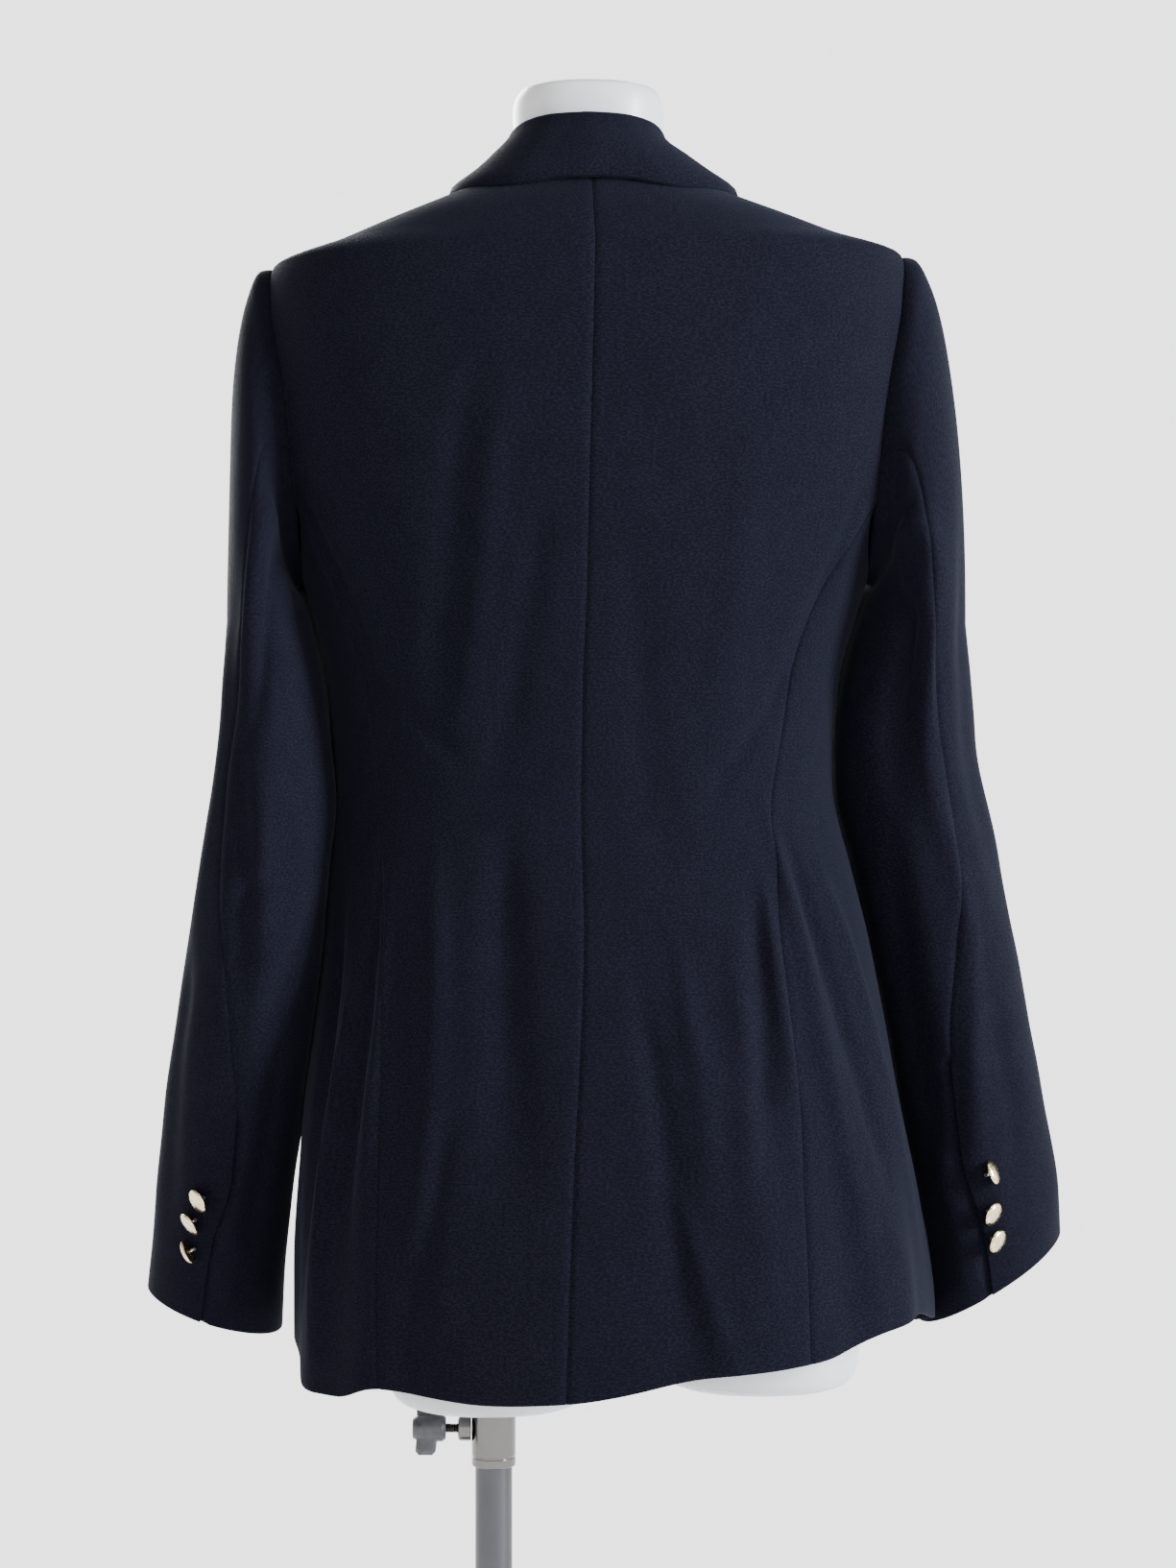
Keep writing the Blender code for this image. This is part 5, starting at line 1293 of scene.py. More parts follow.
def ring_mesh(radius, wire, sides=22, round_it=9):
    made = bmesh.new()
    grid = []
    for i in range(sides):
        angle = 2 * math.pi * i / sides
        grid.append([
            made.verts.new((
                (radius + wire * math.cos(2 * math.pi * k / round_it)) * math.cos(angle),
                wire * math.sin(2 * math.pi * k / round_it),
                (radius + wire * math.cos(2 * math.pi * k / round_it)) * math.sin(angle),
            ))
            for k in range(round_it)
        ])
    for i in range(sides):
        for k in range(round_it):
            j, m = (i + 1) % sides, (k + 1) % round_it
            made.faces.new((grid[i][k], grid[i][m], grid[j][m], grid[j][k]))
    bmesh.ops.recalc_face_normals(made, faces=made.faces)
    return made


def joined(parts):
    """Several bmeshes as one mesh; each part is a bmesh, its place and its material's number."""
    whole = bmesh.new()
    for part, place, number in parts:
        bmesh.ops.transform(part, matrix=place, verts=part.verts)
        for face in part.faces:
            face.material_index = number
            face.smooth = True
        scratch = bpy.data.meshes.new("scratch")
        part.to_mesh(scratch)
        part.free()
        whole.from_mesh(scratch)
        bpy.data.meshes.remove(scratch)
    return whole


def finished(name, whole, finishes, body, nodes=(), sharp_deg=35.0):
    """A hard piece from a bmesh, fixed to its body in place of its solids."""
    mesh = bpy.data.meshes.new(name)
    whole.to_mesh(mesh)
    whole.free()
    for finish in finishes:
        mesh.materials.append(finish)
    mesh.set_sharp_from_angle(angle=math.radians(sharp_deg))
    made = bpy.data.objects.new(name, mesh)
    bpy.context.scene.collection.objects.link(made)
    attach(made, body)
    if nodes:
        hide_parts(*nodes)
    return made


def button_profile(radius):
    """A shallow dome with a fine rim, a hollow back and a flat foot for the shank."""
    foot = BUTTON_FOOT * radius
    low, high = BUTTON_BACK_Z
    rim = [(share * radius, z) for share, z in BUTTON_RIM]
    rises = [math.radians(degrees) for degrees in DOME_STEPS_DEG]
    dome = [(radius * math.cos(a) * DOME_SHARE, DOME_FOOT_Z + DOME_RISE * math.sin(a)) for a in rises]
    return [(0, low), (foot, low), (foot * BUTTON_FOOT_EDGE, high), *rim, *dome, (0, DOME_TOP_Z)]


def shank_button(name, radius, place, facing, tip, hang, node):
    """A domed metal button on its wire shank, with the sewing thread wound round the shank."""
    facing = Vector(facing).normalized()
    turn = facing.to_track_quat("Z", "Y").to_matrix().to_4x4()
    tilt = Matrix.Rotation(math.radians(hang[2]), 4, "Z")
    tilt = tilt @ Matrix.Rotation(math.radians(tip[0] + hang[0]), 4, "X")
    tilt = tilt @ Matrix.Rotation(math.radians(tip[1] + hang[1]), 4, "Y")
    seat = Matrix.Translation(Vector(place)) @ turn
    parts = [(turned_mesh(button_profile(radius), BUTTON_SIDES), seat @ tilt, 0)]
    parts.append((ring_mesh(SHANK_LOOP, SHANK_WIRE), seat @ tilt @ Matrix.Translation((0, 0, SHANK_UP)), 0))
    level = Matrix.Rotation(math.radians(90), 4, "X")
    for number in range(THREAD_TURNS):
        lean = level @ Matrix.Rotation(math.radians(THREAD_TURN_DEG * number), 4, "Z")
        up = Matrix.Translation((0, 0, THREAD_FIRST_UP + THREAD_STEP_UP * number))
        parts.append((ring_mesh(THREAD_LOOP, THREAD_R), seat @ up @ lean, 1))
    whole = joined(parts)
    return finished(name, whole, [metal_gilt, sewing_thread], "figure", [node])


def fine_buttons():
    for side, sign in (("left", 1), ("right", -1)):
        for number, row in enumerate(CUFF_BUTTONS[side], 1):
            along, in_deg, tip_back, tip_out = row
            seam_deg = float(from_table(ARM_SEAM_COLUMNS, ARM_SEAM, side, along))
            angle = np.radians(seam_deg - in_deg)
            outer = sleeve_point(angle, np.array(along), side)
            facing = outer - sleeve_point(angle, np.array(along), side, 0.01)
            facing = facing / np.linalg.norm(facing)
            tipped = math.radians(max(abs(tip_back), abs(tip_out)))
            hang = LOOSE_TIPS[side][number - 1]
            tipped = max(tipped, math.radians(max(abs(hang[0]), abs(hang[1]))))
            room = LAYER_GAP + BUTTON_FOOT * CUFF_BUTTON_R * math.sin(tipped)
            flip = np.array([sign, 1, 1])
            seat = (outer + facing * room) * flip + np.array([0, 0, WAIST_Z])
            node = f"cuff_button_{side}_{number}"
            tip = (tip_back, tip_out)
            shank_button("gilt_" + node, CUFF_BUTTON_R, seat, facing * flip, tip, hang, node)
    for number, z in enumerate(FRONT_BUTTON_ROWS, 1):
        for label, x in (("outer", FRONT_BUTTON_X), ("inner", -FRONT_BUTTON_X)):
            phi, level = -phi_front(np.array(x), np.array(z)), np.array(z)
            lift = lap_lift(np.array(x), level, "right") + FRONT_BUTTON_LIFT
            place = body_point(phi, level, lift)
            facing = place - body_point(phi, level, lift - 0.01)
            node = f"front_button_{label}_{number}"
            seat = place + np.array([0, 0, WAIST_Z])
            shank_button("gilt_" + node, FRONT_BUTTON_R, seat, facing, (0, 0), (0, 0, 0), node)


def new_finish(name, colour, roughness, metallic=0.0):
    made = bpy.data.materials.new(name)
    made.use_nodes = True
    made.diffuse_color = (*colour, 1.0)
    shader = made.node_tree.nodes["Principled BSDF"]
    shader.inputs["Base Color"].default_value = (*colour, 1.0)
    shader.inputs["Roughness"].default_value = roughness
    shader.inputs["Metallic"].default_value = metallic
    return made, made.node_tree, shader


def object_place(tree):
    return tree.nodes.new("ShaderNodeTexCoord").outputs["Object"]


def cloth_place(tree):
    made = tree.nodes.new("ShaderNodeUVMap")
    made.uv_map = "cloth"
    return made.outputs["UV"]


def noise(tree, place, sizes, detail=2.0, warp=0.0, shift=0.0):
    """A noise whose grains have the given sizes in metres along each axis."""
    mapping = tree.nodes.new("ShaderNodeMapping")
    mapping.inputs["Scale"].default_value = tuple(1.0 / s for s in sizes)
    mapping.inputs["Location"].default_value = (shift, shift * 0.7, shift * 0.3)
    tree.links.new(place, mapping.inputs["Vector"])
    made = tree.nodes.new("ShaderNodeTexNoise")
    made.inputs["Scale"].default_value = 1.0
    made.inputs["Detail"].default_value = detail
    made.inputs["Distortion"].default_value = warp
    tree.links.new(mapping.outputs["Vector"], made.inputs["Vector"])
    return made.outputs["Fac"]


def bands(tree, place, size, turn_deg=0.0, warp=0.0):
    """Fine parallel bands of one size in metres, turned in the plane of the place's first two axes."""
    mapping = tree.nodes.new("ShaderNodeMapping")
    mapping.inputs["Rotation"].default_value = (0, 0, math.radians(turn_deg))
    tree.links.new(place, mapping.inputs["Vector"])
    made = tree.nodes.new("ShaderNodeTexWave")
    made.wave_type = "BANDS"
    made.bands_direction = "X"
    made.inputs["Scale"].default_value = math.pi / (10.0 * size)
    made.inputs["Distortion"].default_value = warp
    made.inputs["Detail"].default_value = 1.0
    made.inputs["Detail Scale"].default_value = 2.0
    tree.links.new(mapping.outputs["Vector"], made.inputs["Vector"])
    return made.outputs["Fac"]


def rescaled(tree, value, low, high, new_low=0.0, new_high=1.0):
    made = tree.nodes.new("ShaderNodeMapRange")
    for name, number in (("From Min", low), ("From Max", high), ("To Min", new_low), ("To Max", new_high)):
        made.inputs[name].default_value = number
    tree.links.new(value, made.inputs["Value"])
    return made.outputs["Result"]


def sums(tree, operation, first, second):
    made = tree.nodes.new("ShaderNodeMath")
    made.operation = operation
    for socket, value in zip(made.inputs, (first, second)):
        if isinstance(value, (int, float)):
            socket.default_value = value
        else:
            tree.links.new(value, socket)
    return made.outputs["Value"]


def mixed(tree, factor, first, second):
    """Two colours mixed by a factor; each is a colour or another node's output."""
    made = tree.nodes.new("ShaderNodeMix")
    made.data_type = "RGBA"
    tree.links.new(factor, made.inputs[0])
    for socket, value in ((made.inputs[6], first), (made.inputs[7], second)):
        if isinstance(value, tuple):
            socket.default_value = (*value, 1.0)
        else:
            tree.links.new(value, socket)
    return made.outputs[2]


def bumped(tree, shader, layers):
    """Bump layers, each a height, its strength and its depth in metres, one over the other."""
    normal = None
    for height, strength, depth in layers:
        made = tree.nodes.new("ShaderNodeBump")
        made.inputs["Strength"].default_value = strength
        made.inputs["Distance"].default_value = depth
        tree.links.new(height, made.inputs["Height"])
        if normal:
            tree.links.new(normal, made.inputs["Normal"])
        normal = made.outputs["Normal"]
    tree.links.new(normal, shader.inputs["Normal"])


def wool_finish(name, deep, pale, sheen):
    """Fine crepe wool: short yarns along and across, a slow drift between two navies, and a soft nap."""
    made, tree, shader = new_finish(name, deep, 0.86)
    place = cloth_place(tree)
    weft = noise(tree, place, (0.00125, 0.00034, 1.0), 2.0, 0.25)
    warp = noise(tree, place, (0.00030, 0.00085, 1.0), 2.0, 0.20, 3.7)
    twill = bands(tree, place, 0.00078, 62.0, 3.0)
    pebble = noise(tree, place, (0.0016, 0.0012, 1.0), 2.0, 0.3, 1.9)
    mottle = noise(tree, place, (0.012, 0.016, 1.0), 3.0, 0.4, 5.1)
    drift = noise(tree, place, (0.11, 0.17, 1.0), 1.5, 0.5, 8.3)
    yarn = sums(tree, "ADD", sums(tree, "MULTIPLY", weft, 0.55), sums(tree, "MULTIPLY", warp, 0.45))
    violet = (deep[0] * 1.22, deep[1] * 0.92, deep[2] * 1.02)
    teal = (deep[0] * 0.86, deep[1] * 1.16, deep[2] * 1.06)
    ground = mixed(tree, rescaled(tree, drift, 0.36, 0.64), violet, teal)
    lit = mixed(tree, rescaled(tree, yarn, 0.34, 0.68), ground, pale)
    crepe = noise(tree, place, (0.0019, 0.0011, 1.0), 2.0, 0.2, 6.7)
    grained = mixed(tree, rescaled(tree, crepe, 0.46, 0.60, 0.0, 0.85), lit, pale)
    toned = mixed(tree, rescaled(tree, mottle, 0.30, 0.75, 0.0, 0.20), grained, deep)
    tree.links.new(toned, shader.inputs["Base Color"])
    tree.links.new(rescaled(tree, pebble, 0.3, 0.7, 0.78, 0.94), shader.inputs["Roughness"])
    shader.inputs["Sheen Weight"].default_value = sheen
    shader.inputs["Sheen Roughness"].default_value = 0.42
    shader.inputs["Sheen Tint"].default_value = (0.62, 0.70, 0.92, 1.0)
    shader.inputs["Specular IOR Level"].default_value = 0.02
    bumped(tree, shader, (
        (pebble, 0.35, 0.00030), (twill, 0.18, 0.00010), (weft, 0.55, 0.00022), (warp, 0.45, 0.00018),
    ))
    return made


def gilt_finish():
    """Pale polished brass, dulled in patches and hair-scratched."""
    made, tree, shader = new_finish("metal_gilt", (0.78, 0.66, 0.45), 0.22, 1.0)
    place = object_place(tree)
    dull = noise(tree, place, (0.0022, 0.0022, 0.0022), 3.0, 0.6)
    hair = noise(tree, place, (0.00012, 0.0030, 0.0012), 2.0, 0.2, 2.2)
    tone = mixed(tree, rescaled(tree, dull, 0.35, 0.70), (0.78, 0.65, 0.42), (0.52, 0.42, 0.26))
    tree.links.new(tone, shader.inputs["Base Color"])
    tree.links.new(rescaled(tree, dull, 0.3, 0.75, 0.16, 0.34), shader.inputs["Roughness"])
    struck = noise(tree, place, (0.0016, 0.0016, 0.0016), 1.0, 0.2, 5.5)
    bumped(tree, shader, ((struck, 0.45, 0.00045), (dull, 0.10, 0.00008), (hair, 0.12, 0.00002)))
    return made


def thread_finish():
    made, tree, shader = new_finish("sewing_thread", (0.008, 0.009, 0.017), 0.6)
    place = object_place(tree)
    fuzz = noise(tree, place, (0.0002, 0.0002, 0.0004), 2.0, 0.3)
    tree.links.new(
        mixed(tree, rescaled(tree, fuzz, 0.3, 0.7), (0.010, 0.012, 0.022), (0.030, 0.034, 0.055)),
        shader.inputs["Base Color"])
    shader.inputs["Sheen Weight"].default_value = 0.2
    bumped(tree, shader, ((fuzz, 0.6, 0.00006),))
    return made


def form_finish():
    """The moulded form's satin white, with the slight unevenness of a sprayed coat."""
    made, tree, shader = new_finish("satin_white", (0.80, 0.79, 0.78), 0.42)
    place = object_place(tree)
    slow = noise(tree, place, (0.09, 0.09, 0.12), 2.0, 0.3)
    spray = noise(tree, place, (0.0011, 0.0011, 0.0011), 2.0, 0.1, 4.4)
    soil = noise(tree, place, (0.02, 0.02, 0.035), 4.0, 0.5, 2.9)
    tone = mixed(tree, rescaled(tree, slow, 0.35, 0.65), (0.42, 0.42, 0.43), (0.385, 0.385, 0.40))
    toned = mixed(tree, rescaled(tree, soil, 0.55, 0.85, 0.0, 0.25), tone, (0.34, 0.335, 0.33))
    tree.links.new(toned, shader.inputs["Base Color"])
    tree.links.new(rescaled(tree, soil, 0.3, 0.8, 0.36, 0.50), shader.inputs["Roughness"])
    shader.inputs["Coat Weight"].default_value = 0.08
    bumped(tree, shader, ((spray, 0.20, 0.00010), (slow, 0.10, 0.0010)))
    return made


def steel_finish(name, colour, roughness, along):
    """Brushed steel; the brush marks are long along one axis of the piece."""
    made, tree, shader = new_finish(name, colour, roughness, 1.0)
    place = object_place(tree)
    sizes = [0.00022, 0.00022, 0.00022]
    sizes[along] = 0.045
    brush = noise(tree, place, tuple(sizes), 2.0, 0.05)
    cloud = noise(tree, place, (0.018, 0.018, 0.060), 3.0, 0.4, 6.1)
    darker = tuple(c * 0.82 for c in colour)
    tone = mixed(tree, rescaled(tree, cloud, 0.3, 0.7), colour, darker)
    tree.links.new(tone, shader.inputs["Base Color"])
    marks = rescaled(tree, brush, 0.25, 0.75, -0.05, 0.07)
    dulled = rescaled(tree, cloud, 0.3, 0.7, roughness - 0.03, roughness + 0.06)
    worn = sums(tree, "ADD", marks, dulled)
    tree.links.new(worn, shader.inputs["Roughness"])
    bumped(tree, shader, ((brush, 0.14, 0.00003),))
    return made


def plastic_finish():
    made, tree, shader = new_finish("moulded_black", (0.022, 0.024, 0.027), 0.38)
    place = object_place(tree)
    grain = noise(tree, place, (0.0005, 0.0005, 0.0005), 2.0, 0.1)
    worn = noise(tree, place, (0.006, 0.006, 0.006), 3.0, 0.4, 3.3)
    tree.links.new(
        mixed(tree, rescaled(tree, worn, 0.4, 0.75), (0.020, 0.022, 0.025), (0.045, 0.047, 0.052)),
        shader.inputs["Base Color"])
    tree.links.new(rescaled(tree, worn, 0.3, 0.7, 0.32, 0.50), shader.inputs["Roughness"])
    bumped(tree, shader, ((grain, 0.25, 0.00006),))
    return made


def floor_finish():
    made, tree, shader = new_finish("studio_floor", (0.90, 0.90, 0.90), 0.9)
    place = object_place(tree)
    slow = noise(tree, place, (0.4, 0.4, 0.4), 2.0)
    tree.links.new(
        mixed(tree, rescaled(tree, slow, 0.3, 0.7), (0.90, 0.90, 0.905), (0.87, 0.87, 0.875)),
        shader.inputs["Base Color"])
    return made


navy_wool = wool_finish("navy_wool_cloth", WOOL_DEEP, WOOL_PALE, 0.03)
metal_gilt = gilt_finish()
sewing_thread = thread_finish()
satin_white = form_finish()
brushed_pole = steel_finish("brushed_pole", (0.075, 0.075, 0.082), 0.36, 2)
satin_steel = steel_finish("satin_steel", (0.12, 0.12, 0.125), 0.40, 0)
polished_socket = steel_finish("polished_socket", (0.14, 0.135, 0.131), 0.18, 2)
black_moulding = plastic_finish()


def ring_solid(name, rings, finish, smooth_deg=70.0):
    """A closed solid through rings of points, with its two ends filled."""
    points = np.concatenate(rings)
    points[:, 2] += WAIST_Z
    mesh = bpy.data.meshes.new(name)
    mesh.from_pydata(points.tolist(), [], ring_faces(len(rings), len(rings[0])))
    mesh.materials.append(finish)
    made = bpy.data.objects.new(name, mesh)
    bpy.context.scene.collection.objects.link(made)
    grown = bmesh.new()
    grown.from_mesh(mesh)
    bmesh.ops.recalc_face_normals(grown, faces=grown.faces)
    grown.to_mesh(mesh)
    grown.free()
    mesh.shade_smooth()
    mesh.set_sharp_from_angle(angle=math.radians(smooth_deg))
    return made


def merged(target, others):
    """Applies Booleans to the target: each other object with its operation, which is then removed."""
    for other, operation in others:
        modifier = target.modifiers.new("join", "BOOLEAN")
        modifier.operation = operation
        modifier.object = other
        modifier.solver = "EXACT"
    graph = bpy.context.evaluated_depsgraph_get()
    mesh = bpy.data.meshes.new_from_object(target.evaluated_get(graph))
    target.modifiers.clear()
    target.data = mesh
    mesh.shade_smooth()
    mesh.set_sharp_from_angle(angle=math.radians(50))
    for other, _ in others:
        bpy.data.objects.remove(other)
    return target


def fine_form(finish):
    """The smooth limbless torso, its rounded neck, its two short thigh ends and the bore for the pole."""
    sides = 96
    runs = [np.linspace(*run) for run in FORM_RUNS]
    z = np.concatenate([[FORM_SECTIONS[0][0]], *runs, np.array(FORM_TOP_ROWS)])
    width, back, front, shift = (from_table(FORM_COLUMNS, FORM_SECTIONS, n, z) for n in FORM_COLUMNS[1:])
    sections = zip(width, back, front, shift, z)
    rings = [oval_ring(w, b, f, (s, 0.0), at, sides) for w, b, f, s, at in sections]
    torso = ring_solid("form_shell", rings, finish)
    others = []
    for side, (x, rise) in STUBS.items():
        at = np.concatenate([STUB_BOTTOM_Z + np.array(STUB_FOOT_ROWS), np.linspace(*STUB_RUN)])
        half, depth = (from_table(STUB_COLUMNS, STUB_SECTIONS, n, at) for n in STUB_COLUMNS[1:])
        middle = (x, POLE_XY[1])
        rings = [oval_ring(w, d, d, middle, level + rise, sides) for w, d, level in zip(half, depth, at)]
        others.append((ring_solid("thigh_end_" + side, rings, finish), "UNION"))
    depth = BORE_TOP_Z - STUB_BOTTOM_Z + BORE_OVERRUN
    bore = turned_mesh(((0, 0), (BORE_R, 0), (BORE_R, depth), (0, depth)), 48)
    mesh = bpy.data.meshes.new("pole_bore")
    foot = Matrix.Translation((*POLE_XY, WAIST_Z + STUB_BOTTOM_Z - BORE_OVERRUN))
    bmesh.ops.transform(bore, matrix=foot, verts=bore.verts)
    bore.to_mesh(mesh)
    bore.free()
    cutter = bpy.data.objects.new("pole_bore", mesh)
    bpy.context.scene.collection.objects.link(cutter)
    others.append((cutter, "DIFFERENCE"))
    torso = merged(torso, others)
    torso.data.materials.clear()
    torso.data.materials.append(finish)
    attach(torso, "figure")
    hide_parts("form_torso")


def turned_piece(name, profile, place, finish, body, slot, node, sides=96, corner=0.0008):
    place = place if isinstance(place, Matrix) else Matrix.Translation(place)
    whole = joined([(turned_mesh(rounded(profile, corner), sides), place, 0)])
    return finished(name, whole, [finish], body, [node], 40)


def fine_stand():
    plate = (
        (0, 0), (BASE_R - 0.001, 0), (BASE_R, 0.001), (BASE_R, BASE_THICK - PLATE_EDGE),
        (BASE_R - PLATE_EDGE, BASE_THICK), (0.9 * BASE_R, BASE_THICK), (0, BASE_THICK),
    )
    turned_piece("stand_plate", plate, (0, 0, 0), satin_steel, "base", "grey_steel", "base_plate", 160)
    hub_z = BASE_THICK + LAYER_GAP
    hole = POLE_R + LAYER_GAP
    step = HUB_FOOT_R - HUB_R
    hub = (
        (hole, 0), (HUB_FOOT_R, 0), (HUB_FOOT_R, 0.5 * step), (HUB_R, step),
        (HUB_R - 0.5 * step, HUB_HEIGHT), (hole, HUB_HEIGHT), (hole, 0.001), (hole, 0),
    )
    turned_piece("stand_hub", hub, (*POLE_XY, hub_z), satin_steel, "base", "grey_steel", "base_hub")
    length = WAIST_Z + POLE_TOP_Z - hub_z
    rod = [(0, 0), (POLE_R, 0)]
    rod += [(POLE_R, length * i / ROD_RINGS) for i in range(1, ROD_RINGS)]
    rod += [(POLE_R, length - POLE_EDGE), (POLE_R - POLE_EDGE, length), (0, length)]
    whole = joined([(turned_mesh(rod, 96), Matrix.Translation((*POLE_XY, hub_z)), 0)])
    finished("stand_pole", whole, [brushed_pole], "post", ["pole"], 40)
    inner = POLE_R + LAYER_GAP
    height = STUB_BOTTOM_Z - LAYER_GAP - SOCKET_BOTTOM_Z
    tube = (
        (inner, 0), (SOCKET_R - 0.0004, 0), (SOCKET_R, 0.0006), (SOCKET_R, GROOVE[0]),
        (SOCKET_R - GROOVE_DEPTH, GROOVE[1]), (SOCKET_R - GROOVE_DEPTH, GROOVE[2]), (SOCKET_R, GROOVE[3]),
        (SOCKET_R, height), (inner, height), (inner, 0),
    )
    foot = (*POLE_XY, WAIST_Z + SOCKET_BOTTOM_Z)
    fixed = ("figure", "bright_socket")
    turned_piece("form_socket", tube, foot, polished_socket, *fixed, "pole_socket", corner=0.0003)
    at = Matrix.Translation((*POLE_XY, WAIST_Z + CLAMP_Z))
    out = at @ Matrix.Rotation(math.radians(90), 4, "Y")
    seat = out @ Matrix.Translation((0, 0, SOCKET_R + LAYER_GAP))
    nut = (
        (NUT_HOLE_R, 0), (NUT_R, 0), (NUT_R, NUT_LONG - NUT_EDGE), (NUT_R - NUT_EDGE, NUT_LONG),
        (NUT_HOLE_R, NUT_LONG), (NUT_HOLE_R, 0.001), (NUT_HOLE_R, 0),
    )
    turned_piece("clamp_boss", nut, seat, polished_socket, *fixed, "clamp_nut", 48, 0.0005)
    screw = [(0, 0), (SCREW_R - SCREW_DEPTH, 0)]
    for i in range(SCREW_TURNS):
        low = SCREW_EDGE + i * SCREW_PITCH
        screw += [(SCREW_R, low + 0.25 * SCREW_PITCH), (SCREW_R - SCREW_DEPTH, low + 0.75 * SCREW_PITCH)]
    screw += [(SCREW_R, SCREW_LONG - SCREW_EDGE), (SCREW_R - SCREW_EDGE, SCREW_LONG), (0, SCREW_LONG)]
    whole = joined([(turned_mesh(screw, 40), seat, 0)])
    finished("clamp_thread", whole, [polished_socket], "knob", ["clamp_screw"], 30)


def smooth_copy(name, node, finish, body, levels=2):
    """A merged copy of a CAD node, smoothed, for a cast piece whose shape is right already."""
    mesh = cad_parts[node].data.copy()
    grown = bmesh.new()
    grown.from_mesh(mesh)
    bmesh.ops.remove_doubles(grown, verts=grown.verts, dist=1e-5)
    grown.to_mesh(mesh)
    grown.free()
    mesh.materials.clear()
    mesh.materials.append(finish)
    made = bpy.data.objects.new(name, mesh)
    bpy.context.scene.collection.objects.link(made)
    modifier = made.modifiers.new("soft_edge", "BEVEL")
    modifier.width = 0.0006
    modifier.segments = levels
    modifier.limit_method = "ANGLE"
    modifier.angle_limit = math.radians(30)
    graph = bpy.context.evaluated_depsgraph_get()
    finer = bpy.data.meshes.new_from_object(made.evaluated_get(graph))
    made.modifiers.clear()
    made.data = finer
    finer.shade_smooth()
    finer.set_sharp_from_angle(angle=math.radians(40))
    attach(made, body)
    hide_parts(node)
    return made


def stitch_tree():
    """Thread stitches laid across a path: they follow it at a pitch and lie flat on the cloth's normal."""
    tree = bpy.data.node_groups.new("buttonhole_stitches", "GeometryNodeTree")
    face = tree.interface
    face.new_socket("Path", in_out="INPUT", socket_type="NodeSocketGeometry")
    sizes = (("Pitch", STITCH_PITCH), ("Thread radius", THREAD_R), ("Stitch length", STITCH_LENGTH))
    for name, value in sizes:
        made = face.new_socket(name, in_out="INPUT", socket_type="NodeSocketFloat")
        made.default_value = value
    face.new_socket("Cloth normal", in_out="INPUT", socket_type="NodeSocketVector")
    face.new_socket("Thread", in_out="INPUT", socket_type="NodeSocketMaterial")
    face.new_socket("Stitches", in_out="OUTPUT", socket_type="NodeSocketGeometry")
    nodes, links = tree.nodes, tree.links
    given, result = nodes.new("NodeGroupInput"), nodes.new("NodeGroupOutput")
    curve = nodes.new("GeometryNodeMeshToCurve")
    spaced = nodes.new("GeometryNodeResampleCurve")
    spaced.mode = "LENGTH"
    links.new(given.outputs["Path"], curve.inputs["Mesh"])
    links.new(curve.outputs["Curve"], spaced.inputs["Curve"])
    links.new(given.outputs["Pitch"], spaced.inputs["Length"])
    thread = nodes.new("GeometryNodeMeshCylinder")
    thread.inputs["Vertices"].default_value = 7
    links.new(given.outputs["Thread radius"], thread.inputs["Radius"])
    links.new(given.outputs["Stitch length"], thread.inputs["Depth"])
    tangent = nodes.new("GeometryNodeInputTangent")
    across = nodes.new("ShaderNodeVectorMath")
    across.operation = "CROSS_PRODUCT"
    links.new(tangent.outputs["Tangent"], across.inputs[0])
    links.new(given.outputs["Cloth normal"], across.inputs[1])
    align = nodes.new("FunctionNodeAlignRotationToVector")
    align.axis = "Z"
    links.new(across.outputs["Vector"], align.inputs["Vector"])
    placed = nodes.new("GeometryNodeInstanceOnPoints")
    links.new(spaced.outputs["Curve"], placed.inputs["Points"])
    links.new(thread.outputs["Mesh"], placed.inputs["Instance"])
    links.new(align.outputs["Rotation"], placed.inputs["Rotation"])
    real = nodes.new("GeometryNodeRealizeInstances")
    smooth_it = nodes.new("GeometryNodeSetShadeSmooth")
    dyed = nodes.new("GeometryNodeSetMaterial")
    links.new(placed.outputs["Instances"], real.inputs["Geometry"])
    links.new(real.outputs["Geometry"], smooth_it.inputs["Geometry"])
    links.new(smooth_it.outputs["Geometry"], dyed.inputs["Geometry"])
    links.new(given.outputs["Thread"], dyed.inputs["Material"])
    links.new(dyed.outputs["Geometry"], result.inputs["Stitches"])
    return tree


def stitched(name, tree, path, normal, thread):
    """Runs the stitches along one closed path of points and gives them as a plain mesh."""
    mesh = bpy.data.meshes.new(name + "_path")
    edges = [(i, (i + 1) % len(path)) for i in range(len(path))]
    mesh.from_pydata([tuple(p) for p in path], edges, [])
    guide = bpy.data.objects.new(name + "_path", mesh)
    bpy.context.scene.collection.objects.link(guide)
    modifier = guide.modifiers.new("stitches", "NODES")
    modifier.node_group = tree
    sockets = {s.name: s.identifier for s in tree.interface.items_tree if s.in_out == "INPUT"}
    modifier[sockets["Cloth normal"]] = tuple(float(v) for v in normal)
    modifier[sockets["Thread"]] = thread
    graph = bpy.context.evaluated_depsgraph_get()
    made = bpy.data.meshes.new_from_object(guide.evaluated_get(graph))
    guide.modifiers.clear()
    bpy.data.objects.remove(guide)
    return made


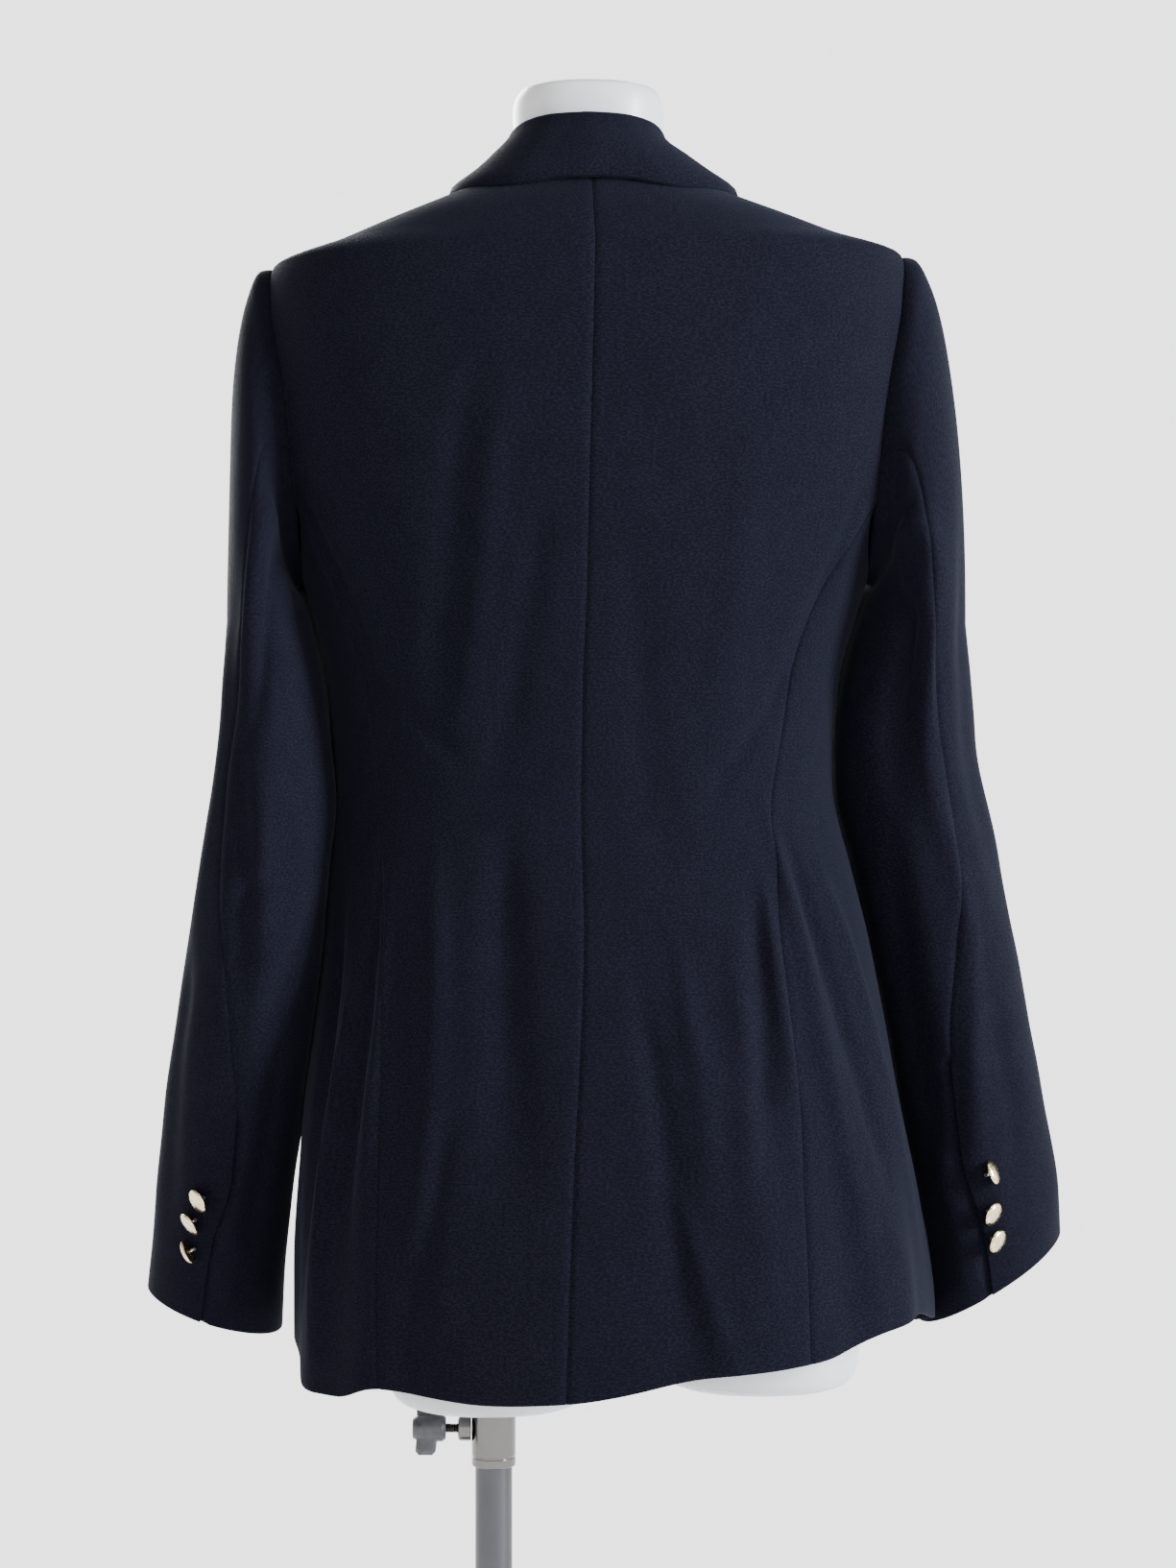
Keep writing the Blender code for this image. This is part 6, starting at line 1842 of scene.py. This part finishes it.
def buttonholes(thread, cloth):
    """The worked holes of the right front, one under each button of the column by its edge."""
    tree = stitch_tree()
    hole_x = HOLE_INWARD - FRONT_BUTTON_X
    for number, z in enumerate(FRONT_BUTTON_ROWS, 1):
        name = f"buttonhole_{number}"
        run = np.linspace(0, 2 * math.pi, 60, endpoint=False)
        x = hole_x + HOLE_HALF * np.cos(run)
        rise = np.sin(run)
        level = z + HOLE_HALF_WIDTH * np.sign(rise) * np.abs(rise) ** HOLE_SQUARENESS
        lift = lap_lift(x, level, "right") + THREAD_R * 0.7
        path = cloth_point(-phi_front(x, level), level, lift)
        path[:, 2] += WAIST_Z
        middle_x, middle_z = np.array(hole_x), np.array(z)
        phi = -phi_front(middle_x, middle_z)
        normal = body_point(phi, middle_z, 0.01) - body_point(phi, middle_z, 0.0)
        made = stitched(name, tree, path, normal / np.linalg.norm(normal), thread)
        piece = bpy.data.objects.new(name, made)
        bpy.context.scene.collection.objects.link(piece)
        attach(piece, "figure")
        slit_x = hole_x + np.linspace(-HOLE_HALF, HOLE_HALF, 24)
        rows = []
        for up in (-SLIT_HALF_WIDTH, SLIT_HALF_WIDTH):
            level = z + up + 0 * slit_x
            lift = lap_lift(slit_x, level, "right") + SLIT_LIFT
            rows.append(cloth_point(-phi_front(slit_x, level), level, lift))
        outer = np.array(rows)
        inner = outer - normal / np.linalg.norm(normal) * SLIT_THICK
        uv = np.stack(np.broadcast_arrays(slit_x[None, :], np.array([[0.0], [2 * SLIT_HALF_WIDTH]])), -1)
        slit = shell(f"hole_slit_{number}", outer, inner, uv, cloth)
        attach(slit, "figure")


def soft_light(name, place, aim, size, power, colour):
    lamp = bpy.data.lights.new(name, "AREA")
    lamp.shape = "RECTANGLE"
    lamp.size, lamp.size_y = size
    lamp.energy = power
    lamp.color = colour
    made = bpy.data.objects.new(name, lamp)
    made.location = place
    away = Vector(place) - Vector(aim)
    made.rotation_euler = away.to_track_quat("Z", "Y").to_euler()
    bpy.context.scene.collection.objects.link(made)


def white_walls():
    """Bright walls all round at the height of the eye, and a dimmer ceiling."""
    world = bpy.data.worlds.new("studio_surround")
    world.use_nodes = True
    tree = world.node_tree
    surround = tree.nodes["Background"]
    surround.inputs["Color"].default_value = (*SURROUND, 1.0)
    apart = tree.nodes.new("ShaderNodeSeparateXYZ")
    tree.links.new(tree.nodes.new("ShaderNodeTexCoord").outputs["Generated"], apart.inputs[0])
    strength = rescaled(tree, apart.outputs["Z"], *WALL_EDGE, WALL_STRENGTH, CEILING_STRENGTH)
    tree.links.new(strength, surround.inputs["Strength"])
    return world


def studio():
    """A pale round floor, white walls, and a large cool light from the camera's right with two fills."""
    disc = bmesh.new()
    bmesh.ops.create_circle(disc, cap_ends=True, radius=FLOOR_R, segments=96)
    mesh = bpy.data.meshes.new("studio_floor")
    disc.to_mesh(mesh)
    disc.free()
    mesh.materials.append(floor_finish())
    floor = bpy.data.objects.new("studio_floor", mesh)
    floor.location = (0, 0, -0.0005)
    bpy.context.scene.collection.objects.link(floor)
    bpy.context.scene.world = white_walls()
    for lamp in LAMPS:
        soft_light(*lamp)


def build():
    for side, sign in SIGN.items():
        dressed(fine_back(side, sign, navy_wool), "back_" + side)
        dressed(fine_side(side, sign, navy_wool), "side_" + side)
        dressed(fine_front(side, sign, navy_wool), "front_" + side)
        dressed(fine_lapel(side, sign, navy_wool), "lapel_" + side)
        dressed(fine_sleeve("upper", side, sign, navy_wool), "sleeve_upper_" + side)
        dressed(fine_sleeve("under", side, sign, navy_wool), "sleeve_under_" + side)
    dressed(fine_collar(navy_wool), "collar")
    fine_buttons()
    buttonholes(sewing_thread, navy_wool)
    fine_form(satin_white)
    fine_stand()
    smooth_copy("wing_knob", "clamp_knob", black_moulding, "knob")
    studio()
    photo_camera()


build()
